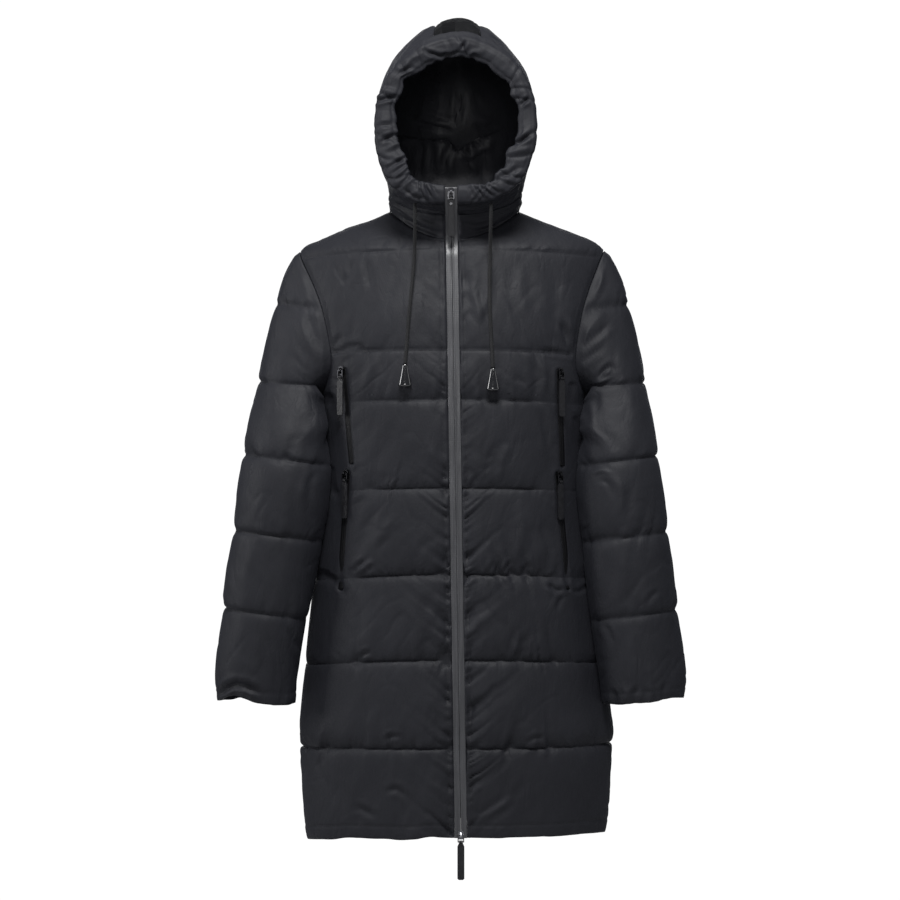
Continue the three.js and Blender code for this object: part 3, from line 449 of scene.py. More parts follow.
HOOD = table(
    "v yF zF yB zB yS zS L R nF nB",
    [
        (0, -85, -23, 75, 24, 0, 25, 95, 105, 2, 2),
        (1, -93, 14, 90, 66, 2, 57, 97, 109, 2.1, 2),
        (2, -99, 20, 122, 114, 5, 94, 103, 111, 2.2, 2),
        (3, -104, 24, 142, 174, 3, 124, 115, 115, 2.35, 2),
        (4, -108, 27, 136, 240, -8, 147, 119, 117, 2.5, 1.95),
        (5, -111, 29, 98, 298, -25, 161, 120, 118, 2.6, 1.9),
        (6, -113, 30, 40, 327, -48, 169, 119, 118, 2.7, 1.9),
        (7, -114, 31, -28, 320, -74, 169, 118, 118, 2.8, 1.88),
        (8, -115, 32, -88, 292, -98, 165, 117, 118, 2.9, 1.9),
    ],
)
SLEEVE = {
    -1: table(
        "k xO zO xI zI y d n",
        [
            (0, -308, -250, -212, -276, -12, 78, 2),
            (1, -326, -347, -187, -365, -46, 77, 2.1),
            (2, -342, -466, -203, -482, -54, 72, 2.1),
            (3, -356, -584, -227, -599, -58, 66, 2.1),
            (3.7, -367, -680, -242, -690, -58, 62, 2.1),
            (4, -365, -724, -243, -728, -58, 58, 2.1),
        ],
    ),
    1: table(
        "k xO zO xI zI y d n",
        [
            (0, 294, -250, 212, -276, -14, 78, 2),
            (1, 310, -352, 180, -368, -50, 77, 2.1),
            (2, 325, -469, 190, -484, -60, 72, 2.1),
            (3, 339, -590, 204, -602, -64, 66, 2.1),
            (3.7, 350, -680, 218, -692, -64, 62, 2.1),
            (4, 350, -720, 222, -728, -64, 58, 2.1),
        ],
    ),
}
SLEEVE_LINES = [12, -118, -241, -356, -473, -593, -724]
ARM_Q, ARM_HALF = 6.13, 1.01
ARM_FRONT, ARM_BACK = math.radians(34), math.radians(36)
ZIP_EDGE = 9.3
WALL = 7.0


def column(t, key, name, x):
    k, v = t[key], t[name]
    s = np.empty_like(v)
    s[1:-1] = (v[2:] - v[:-2]) / (k[2:] - k[:-2])
    s[0], s[-1] = (v[1] - v[0]) / (k[1] - k[0]), (v[-1] - v[-2]) / (k[-1] - k[-2])
    x = np.asarray(x, float)
    i = np.clip(np.searchsorted(k, x, side="right") - 1, 0, len(k) - 2)
    h = k[i + 1] - k[i]
    t = np.clip((x - k[i]) / h, 0, 1)
    t2, t3 = t * t, t * t * t
    return (2 * t3 - 3 * t2 + 1) * v[i] + (t3 - 2 * t2 + t) * h * s[i] + (3 * t2 - 2 * t3) * v[i + 1] + (t3 - t2) * h * s[i + 1]


def zip_x(z):
    return -7.5 + 15 * (50 - z) / 980


def torso_base(a, q):
    a, q = np.broadcast_arrays(np.asarray(a, float), np.asarray(q, float))
    g = lambda n: column(TORSO, "q", n, q)
    s, c, n = np.sin(a), np.cos(a), g("n")
    side = np.where(s > 0, g("zR"), g("zL"))
    end = np.where(c > 0, g("zF"), g("zB"))
    z = side + (end - side) * c * c
    x = zip_x(z) + np.where(s > 0, g("R"), g("L")) * power(s, n)
    y = np.where(c > 0, -g("F"), -g("B")) * power(c, n)
    return np.stack([x, y, z], -1)


def hood_base(a, v):
    a, v = np.broadcast_arrays(np.asarray(a, float), np.asarray(v, float))
    g = lambda n: column(HOOD, "v", n, v)
    s, c = np.sin(a), np.cos(a)
    n = np.where(c > 0, g("nF"), g("nB"))
    f = np.abs(c) ** (2 / n)
    y = lerp(g("yS"), np.where(c > 0, g("yF"), g("yB")), f)
    z = lerp(g("zS"), np.where(c > 0, g("zF"), g("zB")), lerp(c * c, f, smooth(0, 1.2, v)))
    mid = lerp(zip_x(z), np.where(c > 0, lerp(-1, -7.5, f**3), lerp(-1, 2, f)), smooth(0, 4, v))
    return np.stack([mid + np.where(s > 0, g("R"), g("L")) * power(s, n), y, z], -1)


def normal_at(fn, a, q, h=0.01):
    n = np.cross(fn(a + h, q) - fn(a - h, q), fn(a, q + 2 * h) - fn(a, q - 2 * h))
    return n / np.maximum(np.linalg.norm(n, axis=-1, keepdims=True), 1e-9)


def torso_normal(a, q):
    """The torso's normal, carried smoothly past the yoke's seam, where the rows near the zip
    lie too close together to give one."""
    q = np.clip(q, 0.03, 7.97)
    n = normal_at(torso_base, a, q)
    t = (q - 6.95) / 0.4
    low, high = normal_at(torso_base, a, 6.95 + 0 * q), normal_at(torso_base, a, 7.35 + 0 * q)
    mid = lerp(low, high, smooth(0, 1, t)[..., None])
    mid = mid / np.linalg.norm(mid, axis=-1, keepdims=True)
    return np.where(((t > 0) & (t < 1))[..., None], mid, n)


def cad_recess(P, q):
    f = q - np.floor(q)
    line = 1 - np.clip(4 * f * (1 - f), 0, 1) ** 0.7
    ax = np.abs(P[..., 0])
    pocket = np.where(P[..., 1] < 0, 1 - 0.75 * smooth(90, 140, ax) * smooth(3, 3.3, q) * (1 - smooth(5.7, 6, q)), 1)
    edge = np.where(P[..., 1] < 0, 1 - smooth(9, 34, np.abs(P[..., 0] - zip_x(P[..., 2]))), 0)
    return 5 * np.maximum(line * pocket * (1 - 0.6 * smooth(6.9, 7.1, q)), edge)


def torso_cad(a, q, off=0.0):
    P = torso_base(a, q)
    n = normal_at(torso_base, a, np.clip(q, 0.03, 7.97))
    return P + n * (off - cad_recess(P, q))[..., None]


def edge_angle(base, q, side, distance):
    q = np.asarray(q, float)
    lo, hi = np.zeros_like(q), np.full_like(q, math.pi / 2)
    for _ in range(36):
        m = (lo + hi) / 2
        p = base(side * m, q)
        near = np.abs(p[..., 0] - zip_x(p[..., 2])) < distance
        lo, hi = np.where(near, m, lo), np.where(near, hi, m)
    return side * hi


def project(P):
    """Where a point falls in the picture's 900 by 900 frame, for tables given in its pixels."""
    d = P[..., 1] + 5142.0
    return 450 + (P[..., 0] + 9) * 3333.333 / d, 450 - (P[..., 2] + 342) * 3333.333 / d


def curved(points, n=6):
    p = np.array(points, float)
    if len(p) < 3:
        return p
    out = []
    for i in range(len(p) - 1):
        a, b = p[i], p[i + 1]
        ma = (p[i + 1] - p[max(i - 1, 0)]) / 2
        mb = (p[min(i + 2, len(p) - 1)] - p[i]) / 2
        for t in np.linspace(0, 1, n, endpoint=False):
            out.append((2 * t**3 - 3 * t**2 + 1) * a + (t**3 - 2 * t**2 + t) * ma + (3 * t**2 - 2 * t**3) * b + (t**3 - t**2) * mb)
    out.append(p[-1])
    return np.array(out)


def creases(x, y, rows):
    """Depth of listed folds. Each row: the line that it follows, its half width, and its
    height (negative for a trough), then how blunt its two ends are, from 0 to 1."""
    out = np.zeros_like(x)
    for row in rows:
        line, width, height = curved(row[0]), row[1], row[2]
        start, end = row[3] if len(row) > 3 else (0.0, 0.0)
        pad = width * 4
        m = (x > line[:, 0].min() - pad) & (x < line[:, 0].max() + pad) & (y > line[:, 1].min() - pad) & (y < line[:, 1].max() + pad)
        if not m.any():
            continue
        px, py = x[m], y[m]
        seg = np.linalg.norm(np.diff(line, axis=0), axis=1)
        along = np.concatenate([[0], np.cumsum(seg)])
        best, at, off = np.full(px.shape, 1e9), np.zeros_like(px), np.zeros_like(px)
        for i in range(len(seg)):
            d = line[i + 1] - line[i]
            t = np.clip(((px - line[i, 0]) * d[0] + (py - line[i, 1]) * d[1]) / max(seg[i] ** 2, 1e-9), 0, 1)
            dx, dy = px - line[i, 0] - t * d[0], py - line[i, 1] - t * d[1]
            dist = np.hypot(dx, dy)
            near = dist < best
            best = np.where(near, dist, best)
            at = np.where(near, (along[i] + t * seg[i]) / along[-1], at)
            off = np.where(near, np.sign(d[0] * dy - d[1] * dx) * dist, off)
        taper = np.clip(at / 0.3 + start, 0, 1) * np.clip((1 - at) / 0.3 + end, 0, 1)
        k = best / width
        shape = np.exp(-(k**2)) - 0.38 * np.exp(-((k - 2.1) ** 2))
        out[m] += height * taper * shape
    return out


def channel(f):
    """Height of a filled channel between its lower (0) and upper (1) quilt line: it sags, so
    it turns under sharply at the lower line and rises softly towards the upper one."""
    return np.sin(math.pi * np.clip(f, 0, 1) ** 0.62) ** 0.75


def groove(d, wide):
    """Depth share of a sewn line at a distance in mm."""
    return np.exp(-np.abs(d) / wide)


def crisp(u, seed, sharp=0.3):
    """Narrow folds across u, unevenly spaced and of uneven depth, from 0 down to -1."""
    n = noise1(u, seed)
    deep = 0.35 + 0.65 * np.clip(0.5 + 0.9 * noise1(u * 0.43 + 17, seed + 7), 0, 1)
    return -deep * np.exp(-((n / sharp) ** 2))


def pucker(along, away, seed, reach, height, slant=0.0, wave=(11.0, 26.0)):
    """Gathers across a sewn line: along it, and away from it, in mm."""
    u = along + slant * away + 2.0 * noise1(away / 9.0 + along / 50.0, seed + 9)
    n = 0.6 * noise1(u / wave[0] + 57, seed) + 0.5 * noise1(u / wave[1] + 13, seed + 1)
    n = n + 0.9 * crisp(u / (0.8 * wave[0]) + 7, seed + 4, 0.34)
    patch = 0.5 + 0.5 * smooth(-0.4, 0.3, noise1(along / 60.0 + 91, seed + 2))
    d = np.abs(away)
    fall = np.exp(-d / (reach * (1 + 0.6 * noise1(along / 19.0, seed + 3)))) * (1 - np.exp(-d / 1.8))
    return height * n * patch * fall


def wrinkles(u, v, seed):
    """Crisp slack folds: long, narrow and few."""
    n = rough2(u, v, seed, 2)
    m = smooth(0.0, 0.55, noise2(u * 0.55 + 9, v * 0.8 + 4, seed + 3))
    return -np.exp(-((n / 0.2) ** 2)) * m


# ============================================================== torso panels
def torso_rows():
    rows = []
    for k in range(5):
        s = np.linspace(0, 1, 59)[:-1]
        rows += list(k + 0.6 * s + 0.4 * (0.5 - 0.5 * np.cos(math.pi * s)))
    lo, hi = ARM_Q - ARM_HALF, ARM_Q + ARM_HALF
    rows += list(np.linspace(5, lo, 5)[:-1])
    psi = np.linspace(0, math.pi, 109)
    arm = ARM_Q - ARM_HALF * np.cos(psi)
    for line in (6.0, 7.0):
        arm[np.argmin(np.abs(arm - line))] = line
    rows += list(arm)
    rows += list(np.linspace(hi, 8 - 0.001, 26)[1:])
    return np.array(rows)


ROWS = torso_rows()


def arm_cut(q, half):
    e = 1 - ((q - ARM_Q) / ARM_HALF) ** 2
    return half * np.sqrt(np.clip(e, 0, 1))


PITCH = np.array([134.0, 131.0, 128.0, 130.0, 132.0, 76.0, 154.0, 60.0])
LINE_DEPTH = np.array([0.0, 4.3, 4.5, 4.2, 3.4, 3.2, 2.6, 1.5, 0.6])
PUFF = np.array([2.0, 4.4, 4.6, 3.8, 2.8, 1.8, 2.2, 0.8, 0.5])
BASE = -1.6


def quilting(q, fade=1.0, fade2=1.0):
    k = np.clip(np.floor(q).astype(int), 0, 7)
    f = q - k
    below = f * PITCH[k]
    low = LINE_DEPTH[k] * (0.75 * groove(below, 3.0) + 0.75 * np.exp(-((below / 15.0) ** 1.4)))
    high = LINE_DEPTH[k + 1] * groove((1 - f) * PITCH[k], 4.6)
    c = channel(f)
    base = BASE + 1.4 * np.exp(-q * 134.0 / 50.0)
    return base - np.maximum(low, high) * fade + PUFF[k] * c * fade2


# pocket zips in the picture's pixels: upper and lower end, for the troughs in the fronts
POCKETS = {
    "right_upper": (-171, -222, -158, -362),
    "right_lower": (-164, -378, -176, -552),
    "left_upper": (156, -224, 161, -366),
    "left_lower": (154, -380, 170, -552),
}


def pocket_distance(P):
    """Distance in mm from the nearest pocket zip, seen from the front, and how far along."""
    best, tt = np.full(P.shape[:-1], 1e9), np.zeros(P.shape[:-1])
    for x1, z1, x2, z2 in POCKETS.values():
        dx, dz = x2 - x1, z2 - z1
        t = np.clip(((P[..., 0] - x1) * dx + (P[..., 2] - z1) * dz) / (dx * dx + dz * dz), 0, 1)
        d = np.hypot(P[..., 0] - x1 - t * dx, P[..., 2] - z1 - t * dz)
        d = np.where(P[..., 1] < 0, d, 1e9)
        tt = np.where(d < best, t, tt)
        best = np.minimum(best, d)
    return best, tt


# folds in the fronts, in the picture's pixels: line, half width, height in mm
FRONT_FOLDS = [
    # at the armholes
    ([(331, 352), (337, 342), (344, 335)], 3.0, -2.6, (1, 0)),
    ([(333, 354), (345, 348), (358, 346), (362, 352)], 2.6, -2.4, (1, 0)),
    ([(334, 372), (338, 360), (350, 352)], 3.4, 1.6, (1, 0)),
    ([(572, 352), (566, 336), (560, 322)], 2.6, -2.8, (1, 0)),
    ([(572, 346), (572, 330), (566, 316)], 3.2, 1.6, (1, 0)),
    ([(572, 356), (556, 352), (540, 350)], 2.2, -2.0, (1, 0)),
    ([(330, 398), (334, 410), (341, 420)], 4.0, -3.6, (1, 0)),
    ([(331, 470), (333, 490), (341, 502)], 4.0, -3.2, (1, 0)),
    ([(572, 386), (573, 400), (577, 412)], 4.0, -3.0, (1, 0)),
    ([(576, 420), (584, 436), (588, 455)], 3.4, -2.4, (1, 0)),
    # near the pocket ends
    ([(318, 574), (330, 577), (338, 586), (343, 592)], 4.2, -3.2, (1, 1)),
    ([(322, 560), (330, 568), (336, 580)], 3.0, 1.8),
    ([(319, 590), (330, 597), (337, 610)], 4.0, 1.6),
    ([(326, 580), (333, 600), (338, 622)], 3.6, -1.8),
    ([(548, 583), (556, 590), (562, 590)], 2.4, -2.4, (0, 1)),
    ([(569, 589), (578, 592), (590, 586), (598, 588)], 2.6, -2.2, (1, 0)),
    ([(566, 594), (560, 602), (557, 612)], 2.8, -1.6),
    ([(574, 594), (578, 604), (579, 618)], 2.8, 1.4),
    # above the quilt lines
    ([(352, 573), (358, 566), (367, 561)], 2.4, -1.8),
    ([(360, 574), (366, 566), (374, 560)], 2.4, 1.6),
    ([(487, 575), (491, 568), (494, 562)], 1.9, -1.3),
    ([(494, 575), (498, 567), (502, 560)], 1.9, -1.3),
    ([(502, 575), (506, 568), (511, 560)], 1.9, -1.1),
    ([(512, 659), (516, 646), (519, 630)], 2.6, 2.0),
    ([(521, 660), (525, 648), (526, 634)], 2.2, -1.4),
    ([(358, 660), (364, 654), (372, 652)], 2.4, -1.6),
    ([(341, 660), (336, 652), (328, 648)], 2.2, -1.3),
    ([(384, 742), (392, 736), (402, 738)], 2.4, -1.4),
    ([(528, 744), (534, 738), (545, 738)], 2.4, -1.4),
    ([(384, 793), (397, 789), (408, 799)], 2.8, -1.5),
    ([(352, 806), (364, 810), (378, 818)], 3.0, -1.5),
    ([(480, 822), (492, 812), (504, 804), (512, 796)], 3.0, 1.4),
    # long slack streaks
    ([(444, 262), (452, 300)], 4.0, -0.8),
    ([(352, 258), (350, 272), (343, 286)], 3.2, -1.0),
    ([(366, 258), (368, 276), (372, 292)], 3.2, -1.1),
    ([(333, 262), (340, 276), (348, 288)], 3.0, -1.0),
    ([(462, 262), (468, 290), (474, 318)], 4.4, -1.5),
    ([(464, 280), (476, 306), (480, 330)], 4.0, 1.2),
    ([(492, 262), (488, 292), (480, 322)], 3.6, 0.9),
    ([(545, 262), (556, 290), (552, 330)], 6.0, -1.0),
    ([(524, 262), (520, 290), (528, 320)], 5.0, 0.8),
    ([(378, 350), (386, 378), (384, 402)], 4.0, -0.9),
    ([(360, 400), (370, 372), (382, 352)], 4.5, 0.9),
    ([(530, 356), (536, 378), (534, 402)], 3.6, -1.3),
    ([(540, 356), (545, 374), (543, 398)], 3.0, 0.9),
    ([(428, 440), (436, 464), (446, 488)], 3.8, 1.1),
    ([(432, 470), (441, 480), (450, 470)], 3.0, -1.0),
    ([(468, 466), (476, 478), (478, 488)], 3.6, -1.0),
    ([(498, 488), (502, 462), (512, 440)], 3.6, 0.9),
    ([(538, 408), (546, 432), (552, 458)], 3.6, -1.2),
    ([(548, 406), (553, 428), (556, 446)], 3.0, 1.0),
    ([(346, 520), (352, 500), (366, 492)], 3.6, 0.8),
    ([(374, 548), (386, 530), (400, 514)], 4.5, 1.0),
    ([(352, 560), (366, 530), (380, 500)], 5.0, -0.9),
    ([(520, 496), (522, 530), (512, 568)], 5.0, 0.9),
    ([(536, 500), (548, 540), (550, 572)], 5.0, -1.0),
    ([(320, 604), (330, 624), (330, 648)], 4.0, -1.6),
    ([(352, 592), (360, 620), (362, 648)], 6.0, -0.8),
    ([(318, 680), (326, 700), (324, 726)], 4.0, -1.1),
    ([(592, 700), (598, 724), (594, 742)], 4.0, -1.0),
    ([(588, 620), (594, 640), (590, 656)], 4.0, -1.0),
    ([(436, 590), (426, 612), (430, 650)], 5.0, -0.8),
    ([(402, 600), (416, 630), (412, 656)], 6.0, 0.7),
]


def sleeve_near(P):
    """1 where a flank faces the inner side of a sleeve, which it must not touch."""
    ax = np.abs(P[..., 0] - zip_x(P[..., 2]))
    return smooth(135, 175, ax) * smooth(-790, -730, P[..., 2]) * (1 - smooth(-190, -150, P[..., 2]))


def dress_torso(P, N, q, a, armhole, front, seed):
    """Moves a panel's smooth points to the finished cloth surface."""
    x, y, z = P[..., 0], P[..., 1], P[..., 2]
    d_zip = np.abs(x - zip_x(z))
    near = sleeve_near(P)
    fade = np.ones_like(q)
    if front:
        dp, tp = pocket_distance(P)
        # the line across the chest fades in the middle
        fade = fade * (1 - 0.5 * smooth(5.6, 5.95, q) * (1 - smooth(6.0, 6.35, q)) * (1 - smooth(80, 130, np.abs(x))))
        # the yoke's line too
        fade = fade * (1 - 0.75 * np.exp(-(((q - 7) / 0.35) ** 2)) * (1 - smooth(70, 130, np.abs(x))))
    side_a = np.abs(np.abs(np.mod(a + math.pi, 2 * math.pi) - math.pi) - math.pi / 2)
    ds = side_a * 150.0
    h = quilting(q, fade, lerp(0.6, 1, fade) * (1 - 0.55 * np.exp(-ds / 45.0)))
    seam = np.minimum(quilting(q, 1.0, 0.45) - 1.8, 0)
    # gathers above and below each quilt line
    for k in range(9):
        pitch = np.where(q > k, PITCH[min(k, 7)], PITCH[max(k - 1, 0)])
        away = (q - k) * pitch
        m = np.abs(away) < 75
        if not m.any():
            continue
        amp = (2.0, 7.0, 7.4, 7.2, 5.6, 4.4, 4.0, 1.2, 1.2)[k]
        slant = 0.55 * noise1(x / 90.0 + 7 * k, seed + 40 + k)
        add = pucker(x, away, seed + 10 * k, np.where(away > 0, 19.0, 10.0), amp * np.where(away > 0, 1.0, 0.7), slant)
        h = h + np.where(m, add * fade, 0)
    # slow slack folds, mostly upright and leaning
    lean = 0.3 * np.sign(x) if front else 0.12
    u, v = x + lean * (z + 400), z
    body = channel(q - np.floor(q))
    h = h + body * (0.8 * rough2(u / 34.0, v / 150.0, seed + 71, 3) + 0.5 * rough2((x - 0.75 * z) / 30.0, (z + 0.75 * x) / 120.0, seed + 81, 2))
    h = h + body * (1.2 * wrinkles(u / 42.0, v / 150.0, seed + 171) + 1.1 * wrinkles((x + 0.55 * z) / 40.0, (z - 0.55 * x) / 110.0, seed + 181) + 0.9 * wrinkles((x - 0.9 * z) / 36.0, (z + 0.9 * x) / 90.0, seed + 191))
    if front:
        # gathers fanning out of the zip's edge, running down towards it
        strong = lerp(2.2, 7.6, smooth(-260, -560, z))
        d = np.maximum(d_zip - 9, 0)
        w = z - 0.8 * d - 2.5 * noise1(d / 12.0 + z / 60.0, seed + 89)
        g = 0.45 * noise1(w / 10.0 + 31, seed + 90) + 0.4 * noise1(w / 27.0 + 3, seed + 91) + 1.0 * crisp(w / 11.0 + 5, seed + 93, 0.4)
        reach = 15.0 * (1 + 0.9 * noise1(w / 20.0, seed + 92))
        h = h + strong * g * np.exp(-np.maximum(d - 6, 0) / reach) * smooth(1, 7, d) * smooth(-10, -60, z)
        h = h + 0.5 * strong * crisp((z - 0.5 * d) / 7.5, seed + 98, 0.4) * np.exp(-np.maximum(d - 3, 0) / 9.0) * smooth(0.5, 4, d) * smooth(-200, -420, z)
        # the fold at the zip: a soft hollow, then the rolled edge with its topstitching
        h = h - 1.6 * (1 - smooth(9, 40, d_zip))
        h = h - 1.1 * np.exp(-(((d_zip - 16.5) / 1.5) ** 2))
        h = h - 3.0 * (1 - smooth(9.2, 11.6, d_zip))
        # pocket zips: welt lips with a narrow trough between them
        cad = -cad_recess(P, q)
        zone = 1 - smooth(16, 46, dp)
        h = lerp(h, np.maximum(h, cad + 0.6), zone * 0.8)
        h = h + 1.5 * np.exp(-(((dp - 7.4) / 3.0) ** 2))
        trough = np.exp(-((dp / 3.7) ** 4))
        h = lerp(h, cad - 1.9, trough)
        # small gathers along the pockets
        h = h + (0.7 * noise1((z - 0.6 * dp) / 9.0, seed + 95) + 0.8 * crisp((z - 0.8 * dp) / 13.0, seed + 97)) * np.exp(-np.maximum(dp - 8, 0) / 11.0) * smooth(6, 10, dp)
        px, py = project(P)
        h = h + 1.6 * creases(px, py, FRONT_FOLDS) * smooth(0.15, 0.45, -N[..., 1])
    # the side seam pulls in a little, with its own gathers
    below = 1 - smooth(5.0, 5.15, q)
    h = h - 1.8 * np.exp(-ds / 5.0) * np.maximum(below, smooth(7.1, 7.2, q))
    h = h + (1.1 * noise1((z + 0.5 * ds) / 12.0, seed + 60) + 0.9 * crisp((z + 0.5 * ds) / 16.0, seed + 61)) * np.exp(-ds / 22.0) * (1 - np.exp(-ds / 4.0)) * below
    # the gathers around the armhole
    da = armhole
    h = h + (1.2 * noise1((z + 0.35 * da * np.sign(y)) / 14.0, seed + 63) + 1.2 * crisp((z + 0.5 * da * np.sign(y)) / 17.0, seed + 64)) * np.exp(-da / 22.0) * (1 - np.exp(-da / 4.0))
    # hem: a stitched band above a turned edge
    hem = q * 134.0
    h = h - 1.2 * np.exp(-hem / 2.2) - 0.9 * np.exp(-(((hem - 19) / 2.0) ** 2))
    h = h + (1.5 * noise1(x / 17.0, seed + 66) + 0.8 * crisp(x / 15.0, seed + 67)) * np.exp(-hem / 24.0)
    # neck seam
    h = h - 0.8 * np.exp(-np.maximum(8 - q, 0) * 60 / 4.0)
    h = np.where(h > 0, h * (1 - near), h * (1 - 0.55 * near))
    h = np.clip(h, -9.5, 6.5)
    h = lerp(seam, h, smooth(0, 7, ds))
    h = lerp(SEAM_IN, h, smooth(0, 11, da))
    h = lerp(-0.1, h, smooth(0, 9, (8 - q) * 60))
    # full under the arm, where the sleeve leaves the body
    arm_pit = np.exp(-(((z + 300) / 34.0) ** 4)) * np.exp(-((ds / 70.0) ** 4))
    h = lerp(h, np.minimum(0.0, h + 3.0), arm_pit)
    out = P + N * h[..., None]
    # the hem's edge hangs in slow waves
    wave = (3.2 * noise1(x / 62.0 + 0.3, seed + 68) + 1.7 * noise1(x / 21.0, seed + 69)) * np.exp(-hem / 45.0)
    out[..., 2] += wave * smooth(12, 40, d_zip if front else np.full_like(x, 60.0)) * (1 - np.exp(-ds / 26.0)) - 8.0 * np.exp(-hem / 60.0) * np.exp(-((ds / 62.0) ** 2))
    return out, h


SEAM_IN = -2.4


def arm_distance(P, side):
    """Distance in mm from the armhole loop."""
    phi = np.linspace(0, 2 * math.pi, 121)[:-1]
    half = np.where(np.sin(phi) > 0, ARM_FRONT, ARM_BACK)
    loop = torso_base(side * (math.pi / 2 - half * np.sin(phi)), ARM_Q + ARM_HALF * np.cos(phi))
    flat = P.reshape(-1, 3)
    best = np.full(len(flat), 1e9)
    for p in loop:
        best = np.minimum(best, ((flat - p) ** 2).sum(1))
    return np.sqrt(best).reshape(P.shape[:-1])


def front_panel(side):
    q = ROWS[:, None]
    t = np.linspace(0, 1, 112)[None, :]
    t = lerp(t, t**1.35, 0.35)  # finer beside the zip
    a0 = side * edge_angle(torso_base, ROWS, side, ZIP_EDGE)[:, None]
    a1 = math.pi / 2 - 0.0000005
    cut = arm_cut(ROWS, ARM_FRONT)[:, None]
    a = side * (a0 + (a1 - a0) * t - cut * t**2)
    q = np.broadcast_to(q, a.shape)
    P = torso_base(a, q)
    N = torso_normal(a, q)
    arm = np.minimum(arm_distance(P, side), 400)
    out, h = dress_torso(P, N, q, a, arm, True, 300 if side > 0 else 500)
    # never over the zip's strip
    d = out[..., 0] - zip_x(out[..., 2])
    close = (np.abs(d) < ZIP_EDGE) & (out[..., 1] < -40)
    out[..., 0] = np.where(close, zip_x(out[..., 2]) + side * ZIP_EDGE, out[..., 0])
    inner = P + N * np.minimum(-WALL, h - 1.6)[..., None]
    inner[..., 2] += out[..., 2] - (P + N * h[..., None])[..., 2]
    d = inner[..., 0] - zip_x(inner[..., 2])
    close = (np.abs(d) < ZIP_EDGE) & (inner[..., 1] < -40)
    inner[..., 0] = np.where(close, zip_x(inner[..., 2]) + side * ZIP_EDGE, inner[..., 0])
    return out, inner, N


def back_panel():
    t = np.linspace(-1, 1, 181)[None, :]
    cut = arm_cut(ROWS, ARM_BACK)[:, None]
    half = math.pi / 2 - 0.0000005
    a = math.pi - (t * half - np.sign(t) * cut * t**2)
    q = np.broadcast_to(ROWS[:, None], a.shape)
    P = torso_base(a, q)
    N = torso_normal(a, q)
    arm = np.minimum(np.minimum(arm_distance(P, 1), arm_distance(P, -1)), 400)
    out, h = dress_torso(P, N, q, a, arm, False, 700)
    inner = P + N * np.minimum(-WALL, h - 1.6)[..., None]
    inner[..., 2] += out[..., 2] - (P + N * h[..., None])[..., 2]
    return out, inner, N


PANELS = {}
for name, side in (("left", 1), ("right", -1)):
    out, inner, N = front_panel(side)
    PANELS[f"front_{name}"] = (out, N)
    pts, quads, tris = shell(out, inner)
    o = build(f"cloth_front_{name}", pts, quads, tris, SHELL, [f"front_{name}"])
out, inner, N = back_panel()
PANELS["back"] = (out, N)
pts, quads, tris = shell(out, inner)
o = build("cloth_back", pts, quads, tris, SHELL, ["back"])


# ============================================================== sleeves
def armhole_point(side, phi, shrink=0.004):
    q = ARM_Q + ARM_HALF * np.cos(phi) * (1 - shrink)
    half = np.where(np.sin(phi) > 0, ARM_FRONT, ARM_BACK) * (1 - shrink)
    return torso_base(side * (math.pi / 2 - half * np.sin(phi)), q)


def sleeve_ring(side, k, phi):
    g = lambda n: column(SLEEVE[side], "k", n, k)
    c, s, n = np.cos(phi), np.sin(phi), g("n")
    t = (power(c, n) + 1) / 2
    return np.stack([lerp(g("xI"), g("xO"), t), g("y") - g("d") * power(s, n), lerp(g("zI"), g("zO"), t)], -1)


def unit(v):
    return v / np.maximum(np.linalg.norm(v, axis=-1, keepdims=True), 1e-9)


def sleeve_point(side, h, phi):
    h, phi = np.broadcast_arrays(np.asarray(h, float), np.asarray(phi, float))
    ring = sleeve_ring(side, np.maximum(h - 1, 0), phi)
    a, b = armhole_point(side, phi), sleeve_ring(side, np.zeros_like(h), phi)
    reach = np.linalg.norm(b - a, axis=-1, keepdims=True)
    up = ((np.cos(phi) + 1) / 2)[..., None]
    t0 = unit(np.concatenate([side * lerp(0.9, 0.743, up), -0.25 * np.sin(phi)[..., None], -lerp(0.45, 0.669, up)], -1))
    t1 = unit(sleeve_ring(side, np.full_like(h, 0.1), phi) - b)
    m0, m1 = reach * lerp(0.7, 0.6, up), reach * lerp(0.7, 0.8, up)
    t = np.clip(h, 0, 1)[..., None]
    t2, t3 = t * t, t * t * t
    cap = a * (2 * t3 - 3 * t2 + 1) + t0 * (t3 - 2 * t2 + t) * m0 + b * (3 * t2 - 2 * t3) + t1 * (t3 - t2) * m1
    return np.where((h < 1)[..., None], cap, ring)


def flank_limit(P, side):
    """Least distance of a point from the zip line's x that keeps it 2.5 mm out of the flank."""
    z = P[..., 2]
    q = np.interp(z, TORSO["zR" if side > 0 else "zL"][:7], TORSO["q"][:7])
    n = column(TORSO, "q", "n", q)
    a = column(TORSO, "q", "R" if side > 0 else "L", q) + 1.5
    b = np.where(P[..., 1] < 0, column(TORSO, "q", "F", q), column(TORSO, "q", "B", q)) + 1.5
    f = (np.abs(P[..., 1]) / b) ** n
    return np.where(f < 1, a * np.clip(1 - f, 0, 1) ** (1 / n), -1e9)


